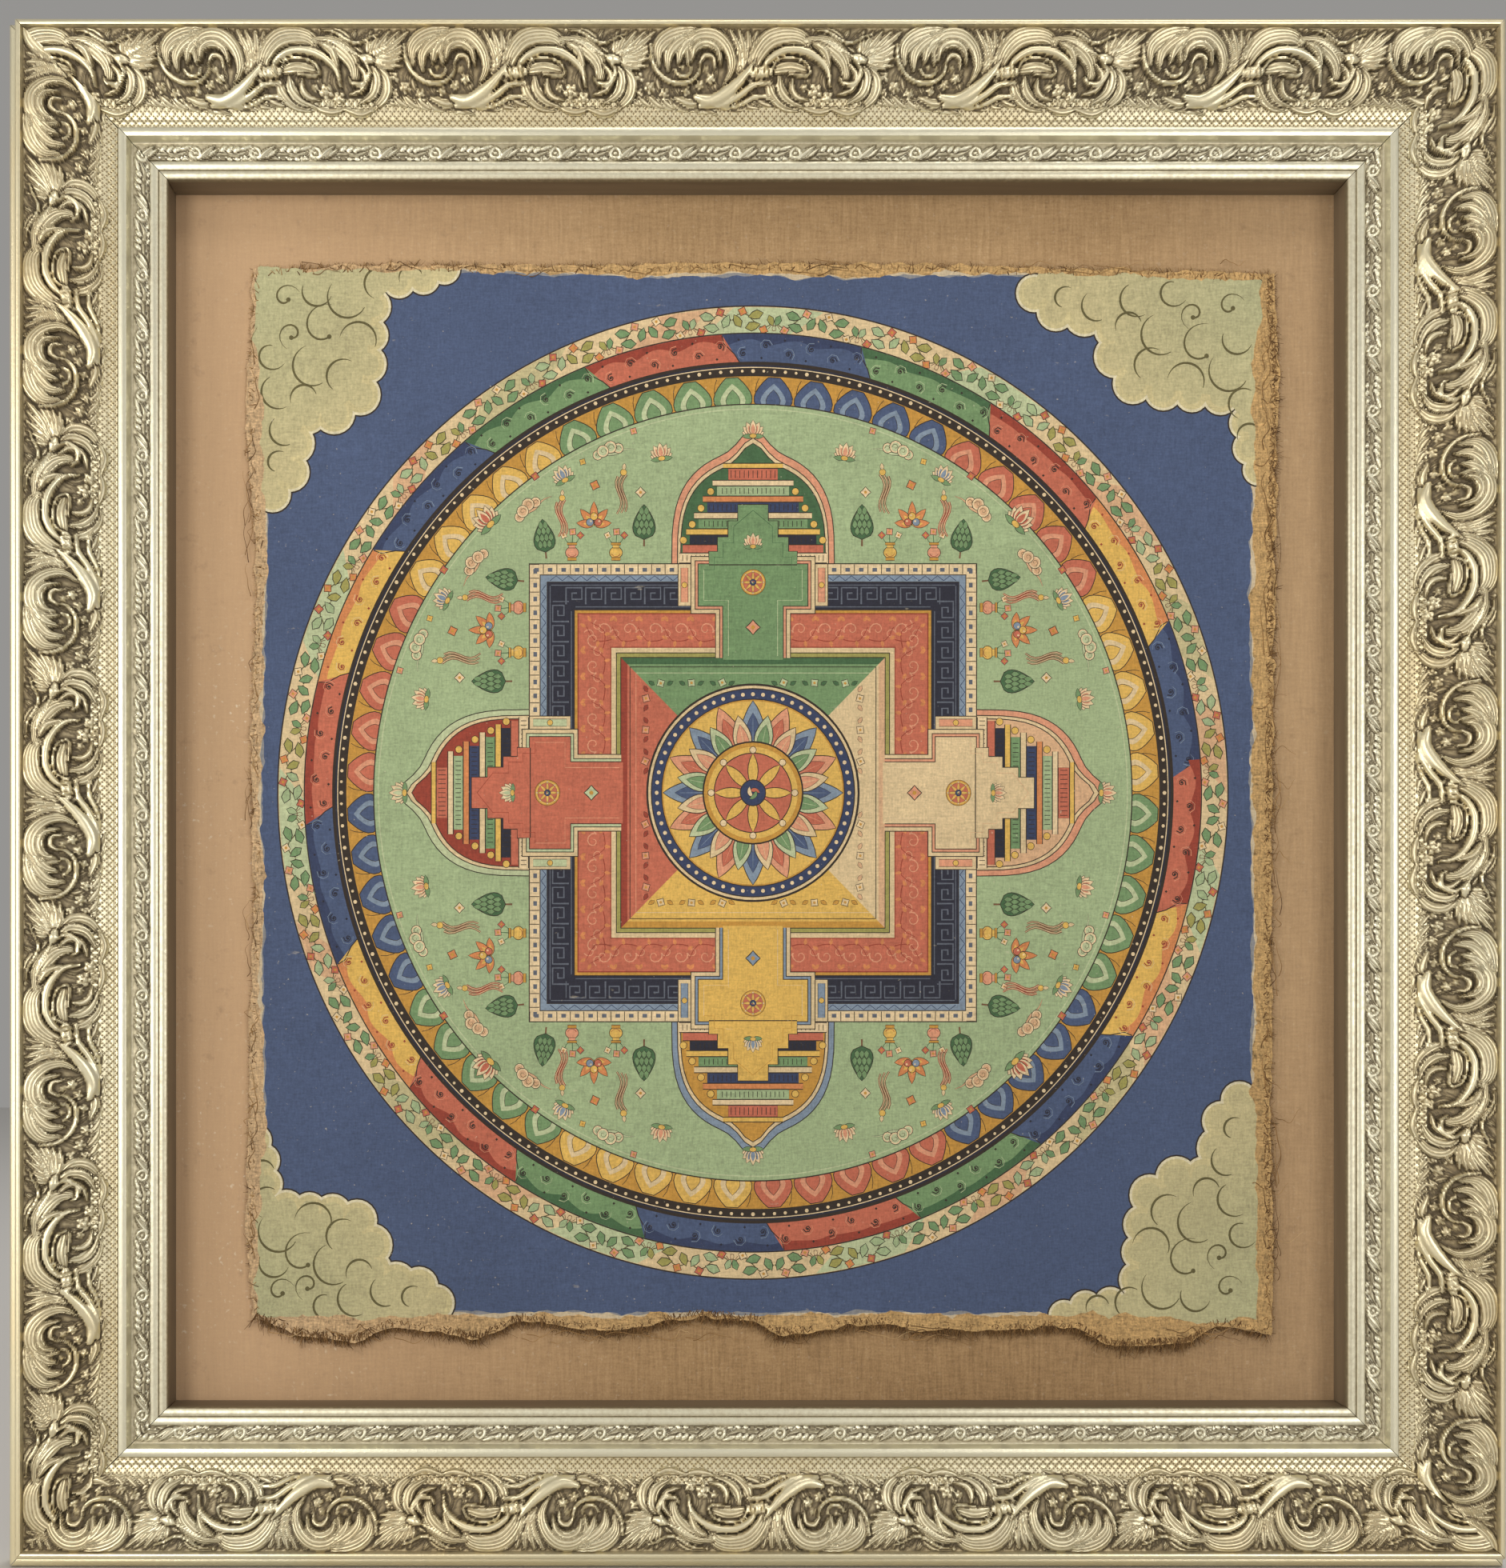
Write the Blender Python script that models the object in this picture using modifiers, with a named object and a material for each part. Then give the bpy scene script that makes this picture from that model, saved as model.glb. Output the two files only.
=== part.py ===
"""Thangka painting on cotton cloth, lying on a covered board in a deep mitred picture frame.

The frame stands upright, as it hangs: X to the right, Z up, and the picture faces -Y.
The origin is the centre of the frame's overall box. Sizes are in metres.
"""

import math

import bmesh
import bpy

MM = 0.001

# Driving sizes of the frame
SIGHT_WIDTH = 0.651
SIGHT_HEIGHT = 0.678
RIM_TO_SIGHT = 0.0755
FRAME_DEPTH = 0.050
JOINT_GAP = 0.0003
ARC_STEPS = 6

# The rebate, the spacers in it and the board behind them, from the rim's outside and front
REBATE_IN = 0.066
REBATE_BACK = 0.026
SPACER_BACK = 0.0422
SPACER_INNER = 0.0745
BOARD_BACK = 0.0465

# The cloth: the rectangle that its edge tables start from, and how it lies
CLOTH_LEFT = -0.2843
CLOTH_RIGHT = 0.2905
CLOTH_BOTTOM = -0.3005
CLOTH_TOP = 0.2995
CLOTH_THICKNESS = 0.0012
CLOTH_CELLS_WIDE = 42
CLOTH_CELLS_HIGH = 28
WAVE_HEIGHT = 0.0007
EDGE_REACH = 0.030

# Moulding section, outside to inside. in: millimetres inward from the rim's outside.
# back: millimetres behind the rim's front. crown: how far the stretch that ends
# there swells out of the straight line (or hollows, where it is negative).
MOULDING = (
    # name, in, back, crown
    ("outer back corner", -15.5, 50.0, 0.0),
    ("base side", -15.5, 33.0, 0.0),
    ("base bead", -10.3, 30.0, 1.6),
    ("base quirk", -9.4, 31.4, 0.0),
    ("outer cove", -1.2, 8.4, -3.6),
    ("cove fillet", 0.0, 7.6, 0.0),
    ("rim side", 0.0, 1.06, 0.0),
    ("rim", 3.0, 0.26, 0.6),
    ("rim step", 3.6, 3.4, 0.0),
    ("ornament band", 41.5, 14.2, 2.4),
    ("lattice slope", 49.8, 17.6, -0.5),
    ("ridge side", 51.2, 14.8, 0.0),
    ("ridge", 55.6, 15.2, 0.6),
    ("ridge step", 56.3, 18.8, 0.0),
    ("small cove", 57.6, 19.5, -0.3),
    ("leaf band", 66.4, 20.7, 0.8),
    ("lip step", 66.9, 21.4, 0.0),
    ("lip", 74.6, 22.3, 0.7),
    ("sight edge", 75.5, 23.4, 0.0),
    ("sight side", 75.5, 26.0, 0.0),
    ("rebate top", 66.0, 26.0, 0.0),
    ("rebate wall", 66.0, 50.0, 0.0),
)

# Torn edges of the cloth. along: share of the side, from its left or lower end.
# out: millimetres outside the nominal rectangle. lift: millimetres off the board.
EDGE_ROWS = {
    "bottom": (
        # along, out, lift
        (0.00, -7.0, 0.4),
        (0.06, 3.0, 1.2),
        (0.10, 5.5, 1.8),
        (0.14, -2.5, 1.4),
        (0.18, 0.0, 2.2),
        (0.22, 3.5, 2.4),
        (0.27, -6.0, 1.2),
        (0.32, -2.0, 1.8),
        (0.36, -0.5, 2.6),
        (0.44, -8.0, 1.2),
        (0.49, -6.0, 1.6),
        (0.52, 1.5, 2.8),
        (0.61, -4.0, 1.6),
        (0.66, -1.0, 2.2),
        (0.75, -1.0, 1.8),
        (0.80, -2.0, 1.6),
        (0.85, 8.0, 3.0),
        (0.91, 7.0, 2.8),
        (0.95, -3.5, 1.6),
        (1.00, 1.0, 2.2),
    ),
    "top": (
        (0.00, -2.0, 0.3),
        (0.12, 0.5, 0.6),
        (0.30, -0.5, 0.3),
        (0.45, 0.5, 0.4),
        (0.60, 0.5, 0.6),
        (0.75, -1.5, 0.4),
        (0.88, -3.0, 0.7),
        (1.00, -5.0, 0.8),
    ),
    "left": (
        (0.00, -1.5, 0.4),
        (0.10, 1.5, 0.8),
        (0.25, 0.0, 0.5),
        (0.42, -2.0, 0.4),
        (0.55, -0.5, 0.5),
        (0.72, -3.5, 0.4),
        (0.84, 1.5, 0.8),
        (1.00, -1.0, 0.3),
    ),
    "right": (
        (0.00, -1.5, 2.2),
        (0.08, 0.5, 1.6),
        (0.20, -0.5, 1.0),
        (0.38, -0.5, 1.4),
        (0.55, 0.5, 1.0),
        (0.72, 1.5, 1.5),
        (0.90, 3.5, 1.2),
        (1.00, 1.0, 0.8),
    ),
}

RIM_WIDTH = SIGHT_WIDTH + 2 * RIM_TO_SIGHT
RIM_HEIGHT = SIGHT_HEIGHT + 2 * RIM_TO_SIGHT
FRONT_Y = -FRAME_DEPTH / 2

COLOURS = {
    # name: red, green, blue, roughness, metallic
    "champagne_leaf": (0.52, 0.47, 0.34, 0.38, 0.85),
    "dark_spacer": (0.14, 0.10, 0.06, 0.70, 0.0),
    "brown_board": (0.33, 0.20, 0.12, 0.85, 0.0),
    "painted_cotton": (0.20, 0.24, 0.33, 0.90, 0.0),
}


def make_material(name):
    """One finish, from the table of colours."""
    red, green, blue, roughness, metallic = COLOURS[name]
    material = bpy.data.materials.new(name)
    material.use_nodes = True
    shader = material.node_tree.nodes["Principled BSDF"]
    shader.inputs["Base Color"].default_value = (red, green, blue, 1.0)
    shader.inputs["Roughness"].default_value = roughness
    shader.inputs["Metallic"].default_value = metallic
    material.diffuse_color = (red, green, blue, 1.0)
    return material


def arc_points(start, end, crown):
    """Points after start up to end, on the circular arc whose middle stands crown off the chord."""
    run = (end[0] - start[0], end[1] - start[1])
    chord = math.hypot(*run)
    if crown == 0.0:
        return [end]
    radius = (chord * chord / 4 + crown * crown) / (2 * abs(crown))
    half_angle = math.asin(min(1.0, chord / (2 * radius)))
    side = math.copysign(1.0, crown)
    along = (run[0] / chord, run[1] / chord)
    proud = (along[1] * side, -along[0] * side)
    points = []
    for step in range(1, ARC_STEPS + 1):
        angle = half_angle * (2 * step / ARC_STEPS - 1)
        forward = chord / 2 + radius * math.sin(angle)
        rise = radius * (math.cos(angle) - math.cos(half_angle))
        points.append(
            (
                start[0] + along[0] * forward + proud[0] * rise,
                start[1] + along[1] * forward + proud[1] * rise,
            )
        )
    return points


def moulding_outline():
    """The closed section of the moulding, as (inward, back) in metres."""
    points = []
    for _, inward, back, crown in MOULDING:
        corner = (inward * MM, back * MM)
        if points:
            points += arc_points(points[-1], corner, crown * MM)
        else:
            points.append(corner)
    return points


def spacer_outline():
    """The rectangular section of a spacer, clear of the rebate by the joint gap."""
    outer = REBATE_IN + JOINT_GAP
    front = REBATE_BACK + JOINT_GAP
    return [
        (outer, SPACER_BACK),
        (outer, front),
        (SPACER_INNER, front),
        (SPACER_INNER, SPACER_BACK),
    ]


def mitred_strip(name, outline, rim_length, turn, centre, material, collection):
    """A section extruded along its side of the frame, with both ends cut to the mitre.

    The section's x runs inward from the rim and its y runs back. At a distance x in
    from the rim, each end is drawn in by x, which is a 45 degree cut.
    """
    curve = bpy.data.curves.new(name, "CURVE")
    curve.dimensions = "2D"
    curve.fill_mode = "BOTH"
    curve.extrude = rim_length / 2
    spline = curve.splines.new("POLY")
    spline.points.add(len(outline) - 1)
    for point, (inward, back) in zip(spline.points, outline):
        point.co = (inward, back, 0.0, 1.0)
    spline.use_cyclic_u = True
    shape = bpy.data.objects.new(name + "_outline", curve)
    collection.objects.link(shape)
    depsgraph = bpy.context.evaluated_depsgraph_get()
    mesh = bpy.data.meshes.new_from_object(shape.evaluated_get(depsgraph))
    bpy.data.objects.remove(shape)

    sheet = bmesh.new()
    sheet.from_mesh(mesh)
    bmesh.ops.remove_doubles(sheet, verts=sheet.verts, dist=1e-6)
    for vert in sheet.verts:
        half = rim_length / 2 - vert.co.x - JOINT_GAP * math.sqrt(0.5)
        vert.co.z = math.copysign(half, vert.co.z)
    bmesh.ops.recalc_face_normals(sheet, faces=sheet.faces)
    sheet.to_mesh(mesh)
    sheet.free()

    strip = bpy.data.objects.new(name, mesh)
    strip.rotation_euler = (0.0, turn, 0.0)
    strip.location = centre
    mesh.materials.clear()
    mesh.materials.append(material)
    collection.objects.link(strip)
    return strip


def edge_values(side, column, along):
    """A column of a torn edge's table, eased between its rows."""
    rows = EDGE_ROWS[side]
    stations = [row[0] for row in rows]
    values = [row[column] for row in rows]
    place = min(max(along, 0.0), 1.0)
    after = next(i for i in range(1, len(rows)) if place <= stations[i])
    share = (place - stations[after - 1]) / (stations[after] - stations[after - 1])
    share = share * share * (3 - 2 * share)
    return (values[after - 1] + (values[after] - values[after - 1]) * share) * MM


def cloth_place(across, up):
    """X and Z on the cloth, at shares of its width and height.

    Each torn edge moves the cloth near it, by an amount that fades over a tenth of the way in.
    """
    near = {
        "left": max(0.0, 1 - across / 0.1),
        "right": max(0.0, 1 - (1 - across) / 0.1),
        "bottom": max(0.0, 1 - up / 0.1),
        "top": max(0.0, 1 - (1 - up) / 0.1),
    }
    x = CLOTH_LEFT + (CLOTH_RIGHT - CLOTH_LEFT) * across
    z = CLOTH_BOTTOM + (CLOTH_TOP - CLOTH_BOTTOM) * up
    x += near["right"] * edge_values("right", 1, up) - near["left"] * edge_values("left", 1, up)
    z += near["top"] * edge_values("top", 1, across) - near["bottom"] * edge_values("bottom", 1, across)
    return x, z


def cloth_lift(across, up):
    """How far the cloth stands off the board: broad low waves, and torn edges that curl up."""
    width = CLOTH_RIGHT - CLOTH_LEFT
    height = CLOTH_TOP - CLOTH_BOTTOM
    wave = math.sin(5.1 * across + 1.3 * up + 0.4) * math.sin(4.3 * up - 1.1 * across + 0.9)
    lift = WAVE_HEIGHT * (1 + wave)
    reach = (
        ("left", across * width, up),
        ("right", (1 - across) * width, up),
        ("bottom", up * height, across),
        ("top", (1 - up) * height, across),
    )
    for side, distance, along in reach:
        near = max(0.0, 1 - distance / EDGE_REACH)
        lift += edge_values(side, 2, along) * near * near
    return lift


def make_cloth(board_front, material, collection):
    """The sheet: a grid laid on the outline and lifted, then given its thickness towards the front."""
    surface = bmesh.new()
    bmesh.ops.create_grid(
        surface, x_segments=CLOTH_CELLS_WIDE, y_segments=CLOTH_CELLS_HIGH, size=0.5
    )
    for vert in surface.verts:
        across, up = vert.co.x + 0.5, vert.co.y + 0.5
        x, z = cloth_place(across, up)
        vert.co = (x, board_front - JOINT_GAP - cloth_lift(across, up), z)
    bmesh.ops.recalc_face_normals(surface, faces=surface.faces)
    faces_back = sum(face.normal.y for face in surface.faces) > 0
    if faces_back:
        bmesh.ops.reverse_faces(surface, faces=surface.faces)
    mesh = bpy.data.meshes.new("thangka_cloth")
    surface.to_mesh(mesh)
    surface.free()
    mesh.shade_smooth()
    cloth = bpy.data.objects.new("thangka_cloth", mesh)
    mesh.materials.append(material)
    collection.objects.link(cloth)
    thickness = cloth.modifiers.new("thickness", "SOLIDIFY")
    thickness.thickness = CLOTH_THICKNESS
    thickness.offset = 1.0
    return cloth


def make_board(board_front, material, collection):
    """The covered board: a flat panel in the rebate."""
    width = RIM_WIDTH - 2 * (REBATE_IN + JOINT_GAP)
    height = RIM_HEIGHT - 2 * (REBATE_IN + JOINT_GAP)
    back = FRONT_Y + BOARD_BACK
    panel = bmesh.new()
    bmesh.ops.create_cube(panel, size=1.0)
    bmesh.ops.scale(panel, verts=panel.verts, vec=(width, back - board_front, height))
    bmesh.ops.translate(panel, verts=panel.verts, vec=(0.0, (back + board_front) / 2, 0.0))
    mesh = bpy.data.meshes.new("mount_board")
    panel.to_mesh(mesh)
    panel.free()
    board = bpy.data.objects.new("mount_board", mesh)
    mesh.materials.append(material)
    collection.objects.link(board)
    return board


def build():
    for old in list(bpy.data.objects):
        bpy.data.objects.remove(old)
    collection = bpy.data.collections.new("framed_thangka")
    bpy.context.scene.collection.children.link(collection)
    finish = {name: make_material(name) for name in COLOURS}

    quarter = math.pi / 2
    sides = (
        # side, length of its rim, turn about Y, centre of its rim
        ("top", RIM_WIDTH, quarter, (0.0, FRONT_Y, RIM_HEIGHT / 2)),
        ("bottom", RIM_WIDTH, -quarter, (0.0, FRONT_Y, -RIM_HEIGHT / 2)),
        ("left", RIM_HEIGHT, 0.0, (-RIM_WIDTH / 2, FRONT_Y, 0.0)),
        ("right", RIM_HEIGHT, 2 * quarter, (RIM_WIDTH / 2, FRONT_Y, 0.0)),
    )
    sections = (
        ("frame", moulding_outline(), finish["champagne_leaf"]),
        ("spacer", spacer_outline(), finish["dark_spacer"]),
    )
    for kind, outline, material in sections:
        for side, length, turn, centre in sides:
            mitred_strip(f"{kind}_{side}", outline, length, turn, centre, material, collection)

    board_front = FRONT_Y + SPACER_BACK + JOINT_GAP
    make_board(board_front, finish["brown_board"], collection)
    make_cloth(board_front, finish["painted_cotton"], collection)


build()
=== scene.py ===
import math

import bpy
import numpy as np
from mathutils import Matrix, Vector
from mathutils.geometry import delaunay_2d_cdt


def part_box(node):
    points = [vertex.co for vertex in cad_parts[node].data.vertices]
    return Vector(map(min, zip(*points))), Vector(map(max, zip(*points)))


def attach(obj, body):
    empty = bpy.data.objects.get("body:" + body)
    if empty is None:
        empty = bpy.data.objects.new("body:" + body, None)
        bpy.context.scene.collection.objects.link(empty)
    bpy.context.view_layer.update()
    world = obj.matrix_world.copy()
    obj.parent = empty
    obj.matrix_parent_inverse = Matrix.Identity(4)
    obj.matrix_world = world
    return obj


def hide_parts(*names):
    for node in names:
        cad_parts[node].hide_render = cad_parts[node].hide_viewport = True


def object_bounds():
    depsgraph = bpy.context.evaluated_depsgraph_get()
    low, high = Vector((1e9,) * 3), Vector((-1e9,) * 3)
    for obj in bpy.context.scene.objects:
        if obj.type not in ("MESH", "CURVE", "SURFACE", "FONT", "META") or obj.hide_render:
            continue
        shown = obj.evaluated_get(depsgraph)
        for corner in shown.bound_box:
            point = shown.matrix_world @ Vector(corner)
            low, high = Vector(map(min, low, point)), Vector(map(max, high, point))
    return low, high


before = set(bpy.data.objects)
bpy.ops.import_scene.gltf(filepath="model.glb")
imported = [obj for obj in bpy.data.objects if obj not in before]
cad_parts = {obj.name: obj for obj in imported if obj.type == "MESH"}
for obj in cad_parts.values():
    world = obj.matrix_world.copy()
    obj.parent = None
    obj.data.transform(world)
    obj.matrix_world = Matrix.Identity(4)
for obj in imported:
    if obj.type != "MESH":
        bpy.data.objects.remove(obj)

cad_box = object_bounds()

MM = 0.001

# ---------------------------------------------------------------------------
# Where it stands: a pale floor under the lower edge, soft lamps above, at the left,
# in front to both sides and behind, and a camera square on to the picture, a little
# low and to the left.
# ---------------------------------------------------------------------------

CAMERA_AWAY = 0.850          # from the rim's front
CAMERA_RIGHT = -0.0629
CAMERA_UP = -0.0984
METRES_A_PIXEL = 0.00043     # in the plane of the rim
PICTURE_TALL = 1960
SENSOR = 0.036
SHIFT_RIGHT = 0.0699
SHIFT_UP = 0.1199
AIR_COLOUR = (0.84, 0.82, 0.79, 1.0)
AIR_STRENGTH = 0.36
FLOOR_COLOUR = (0.70, 0.69, 0.67, 1.0)
FLOOR_ROUGHNESS = 0.8
FLOOR_HALF = 3.0
FLOOR_BELOW = 0.5 * MM

rim_front = cad_box[0].y
floor_level = cad_box[0].z - FLOOR_BELOW

camera_data = bpy.data.cameras.new("camera")
camera_data.sensor_width = SENSOR * 1000
camera_data.lens = 1000 * SENSOR * CAMERA_AWAY / METRES_A_PIXEL / PICTURE_TALL
camera_data.shift_x = SHIFT_RIGHT
camera_data.shift_y = SHIFT_UP
camera = bpy.data.objects.new("camera", camera_data)
camera.location = (CAMERA_RIGHT, rim_front - CAMERA_AWAY, CAMERA_UP)
camera.rotation_euler = (math.pi / 2, 0, 0)
bpy.context.scene.collection.objects.link(camera)
bpy.context.scene.camera = camera

LAMPS = (
    # name, place, aimed at, width, height, watts, colour
    ("lamp_above", (0.30, -0.95, 1.55), (0.0, 0.0, 0.05), 1.2, 0.45, 6.5, (1.0, 0.95, 0.88)),
    ("lamp_front_left", (-1.25, -2.2, 0.1), (0.0, 0.0, 0.0), 0.9, 1.5, 23.5, (1.0, 0.95, 0.87)),
    ("lamp_front_right", (1.25, -2.2, 0.1), (0.0, 0.0, 0.0), 0.9, 1.5, 18.0, (1.0, 0.95, 0.89)),
    ("lamp_left", (-1.7, -0.9, 0.2), (0.0, 0.0, 0.0), 0.7, 1.3, 9.0, (1.0, 0.93, 0.84)),
    ("lamp_behind", (0.6, 1.8, 1.2), (0.0, 0.0, 0.0), 1.2, 1.2, 18.0, (1.0, 0.98, 0.95)),
)
for name, place, aim, width, height, watts, colour in LAMPS:
    lamp_data = bpy.data.lights.new(name, "AREA")
    lamp_data.shape = "RECTANGLE"
    lamp_data.size, lamp_data.size_y = width, height
    lamp_data.energy = watts
    lamp_data.color = colour
    lamp = bpy.data.objects.new(name, lamp_data)
    lamp.location = place
    lamp.rotation_euler = (Vector(aim) - Vector(place)).to_track_quat("-Z", "Y").to_euler()
    bpy.context.scene.collection.objects.link(lamp)

world = bpy.data.worlds.new("studio")
world.use_nodes = True
world.node_tree.nodes["Background"].inputs["Color"].default_value = AIR_COLOUR
world.node_tree.nodes["Background"].inputs["Strength"].default_value = AIR_STRENGTH
bpy.context.scene.world = world
bpy.context.scene.view_settings.view_transform = "Standard"

floor_mesh = bpy.data.meshes.new("floor")
floor_mesh.from_pydata(
    [(FLOOR_HALF * x, FLOOR_HALF * y, floor_level) for x, y in ((-1, -1), (1, -1), (1, 1), (-1, 1))],
    [],
    [(0, 1, 2, 3)],
)
floor = bpy.data.objects.new("floor", floor_mesh)
bpy.context.scene.collection.objects.link(floor)
pale = bpy.data.materials.new("pale_floor")
pale.use_nodes = True
pale.node_tree.nodes["Principled BSDF"].inputs["Base Color"].default_value = FLOOR_COLOUR
pale.node_tree.nodes["Principled BSDF"].inputs["Roughness"].default_value = FLOOR_ROUGHNESS
floor.data.materials.append(pale)

# ---------------------------------------------------------------------------
# Frame moulding: four mitred lengths of wood, run to one section with a base
# bead, a cove, a rim, a band for the ornament, a ridge and a reeded lip.
# Covered in pale silver-gold leaf, then glazed dark and rubbed back.
# ---------------------------------------------------------------------------


class Value:
    """A number that changes over a surface: arithmetic on it adds the Math nodes."""

    def __init__(self, tree, socket):
        self.tree, self.socket = tree, socket

    def math(self, operation, *others, clamp=False, last=False):
        """Adds one Math node; last puts this value after the others."""
        node = self.tree.nodes.new("ShaderNodeMath")
        node.operation, node.use_clamp = operation, clamp
        for entry, item in zip(node.inputs, (*others, self) if last else (self, *others)):
            feed(self.tree, entry, item)
        return Value(self.tree, node.outputs[0])

    def __add__(self, other):
        return self.math("ADD", other)

    def __sub__(self, other):
        return self.math("SUBTRACT", other)

    def __rsub__(self, other):
        return self.math("SUBTRACT", other, last=True)

    def __mul__(self, other):
        return self.math("MULTIPLY", other)

    __radd__, __rmul__ = __add__, __mul__

    def clamped(self):
        """Held to 0 and 1."""
        return self.math("ADD", 0.0, clamp=True)

    def between(self, low, high):
        """0 at low, 1 at high, held past them."""
        return ((self - low) * (1.0 / (high - low))).clamped()


def feed(tree, entry, item):
    """Links a value to a socket, or sets a constant there."""
    if isinstance(item, Value):
        tree.links.new(item.socket, entry)
    else:
        entry.default_value = item


class Finish:
    """A material on one Principled shader, with the few calls that its pattern needs."""

    def __init__(self, name, **constants):
        self.material = bpy.data.materials.new(name)
        self.material.use_nodes = True
        self.tree = self.material.node_tree
        self.shader = self.tree.nodes["Principled BSDF"]
        for socket, constant in constants.items():
            self.shader.inputs[socket.replace("_", " ")].default_value = constant
        self.place = self.node("ShaderNodeTexCoord", out="Object")

    def node(self, kind, settings=None, out=0, **inputs):
        """Any node: its settings first, then its sockets' values or links. Gives one output."""
        made = self.tree.nodes.new(kind)
        for key, setting in (settings or {}).items():
            if key == "stops":
                ramp = made.color_ramp.elements
                while len(ramp) < len(setting):
                    ramp.new(0.5)
                for element, (position, colour) in zip(ramp, setting):
                    element.position, element.color = position, (*colour, 1.0)
            else:
                setattr(made, key, setting)
        for key, item in inputs.items():
            entry = int(key[1:]) if key[1:].isdigit() else key.replace("_", " ")
            feed(self.tree, made.inputs[entry], item)
        return Value(self.tree, made.outputs[out])

    def noise(self, scale, detail=3.0, roughness=0.55, stretch=(1.0, 1.0, 1.0), seat=(0.0, 0.0, 0.0)):
        """Cloudy noise from 0 to 1, scale to the metre; stretch thins it along an axis."""
        seated = self.node("ShaderNodeMapping", Vector=self.place, Location=seat, Scale=stretch)
        return self.node(
            "ShaderNodeTexNoise", Vector=seated, Scale=scale, Detail=detail, Roughness=roughness
        )

    def axis(self, index):
        """One of the object's own coordinates, in metres."""
        return self.node("ShaderNodeSeparateXYZ", out=index, Vector=self.place)

    def attribute(self, name, out="Fac"):
        """What the mesh carries under a name: a number, or with out a colour."""
        return self.node("ShaderNodeAttribute", {"attribute_name": name}, out=out)

    def mix(self, share, first, second, blend="MIX"):
        """The first colour at share 0, the second at share 1."""
        return self.node(
            "ShaderNodeMix",
            {"data_type": "RGBA", "blend_type": blend},
            out=2,
            _0=share,
            _6=first if isinstance(first, Value) else (*first, 1.0),
            _7=second if isinstance(second, Value) else (*second, 1.0),
        )

    def ramp(self, share, stops):
        """A colour between the stops, by share."""
        return self.node("ShaderNodeValToRGB", {"stops": stops}, _0=share)

    def drive(self, **sockets):
        """Links values to the shader's own sockets."""
        for name, item in sockets.items():
            feed(self.tree, self.shader.inputs[name.replace("_", " ")], item)

    def bump(self, height, strength, distance):
        """Height, from 0 to 1, raised by distance."""
        raised = self.node("ShaderNodeBump", Height=height, Strength=strength, Distance=distance)
        self.drive(Normal=raised)


def mesh_piece(name, points, loops, sizes, finish, soft=None):
    """A mesh object from arrays: points, corner numbers, and how many corners each face has.
    Edges that turn by less than soft degrees are shaded smooth."""
    mesh = bpy.data.meshes.new(name)
    points, loops = np.asarray(points, np.float32), np.asarray(loops, np.int32)
    sizes = np.asarray(sizes, np.int32)
    mesh.vertices.add(len(points))
    mesh.vertices.foreach_set("co", points.ravel())
    mesh.loops.add(len(loops))
    mesh.loops.foreach_set("vertex_index", loops)
    mesh.polygons.add(len(sizes))
    mesh.polygons.foreach_set("loop_start", np.concatenate(([0], np.cumsum(sizes)[:-1])))
    mesh.polygons.foreach_set("loop_total", sizes)
    mesh.materials.append(finish.material)
    mesh.update(calc_edges=True)
    mesh.validate()
    mesh.shade_smooth()
    if soft is not None:
        mesh.set_sharp_from_angle(angle=math.radians(soft))
    piece = bpy.data.objects.new(name, mesh)
    bpy.context.scene.collection.objects.link(piece)
    return piece


def carry(piece, name, values, domain="POINT"):
    """Gives each point or face a number, for the material to read."""
    carried = piece.data.attributes.new(name, "FLOAT", domain)
    carried.data.foreach_set("value", np.asarray(values, np.float32))


def round_quads(rows, columns):
    """Corner numbers of the quads of a grid stored row by row, its last row joined to its first."""
    across = np.arange(columns - 1)
    down = np.arange(rows)[:, None]
    here, below = down * columns + across, (down + 1) % rows * columns + across
    return np.stack([here + 1, below + 1, below, here], -1).reshape(-1, 4)


def length_faces(rows, columns):
    """The faces of a closed section carried along a length, with both ends closed: corner
    numbers, and the corners of each face."""
    quads = round_quads(rows, columns)
    ends = np.arange(rows) * columns
    loops = np.concatenate([quads.ravel(), ends, (ends + columns - 1)[::-1]])
    return loops, np.concatenate([np.full(len(quads), 4), [rows, rows]])


# The section, outside to inside: millimetres in from the rim's outside and back from its
# front, and how far the stretch that ends there swells (or hollows) from the straight.
SECTION = (
    # in, back, crown, steps
    (-15.5, 50.0, 0.0, 1),
    (-15.5, 33.0, 0.0, 1),
    (-10.3, 30.0, 1.6, 8),
    (-9.4, 31.4, 0.0, 1),
    (-1.2, 8.4, -3.6, 12),
    (0.0, 7.6, 0.0, 1),
    (0.0, 1.06, 0.0, 1),
    (3.0, 0.26, 0.6, 8),
    (3.6, 3.6, 0.0, 1),
    (41.5, 15.6, 1.6, 12),
    (49.8, 18.0, -0.4, 4),
    (51.0, 14.9, 0.0, 1),
    (55.2, 15.2, 0.35, 8),
    (56.3, 18.8, 0.0, 1),
    (57.4, 20.0, -0.3, 4),
    (66.2, 21.2, 0.5, 6),
    (66.7, 20.9, 0.0, 1),
    (70.6, 21.5, 0.35, 8),
    (70.9, 22.4, 0.0, 1),
    (71.3, 21.9, 0.0, 1),
    (75.1, 22.5, 0.4, 8),
    (75.5, 23.6, 0.0, 1),
    (75.5, 26.0, 0.0, 1),
    (66.0, 26.0, 0.0, 1),
    (66.0, 50.0, 0.0, 1),
)
JOINT_GAP = 0.0003
MITRE_GAP = JOINT_GAP * math.sqrt(0.5)     # half of it, along the side


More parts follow.
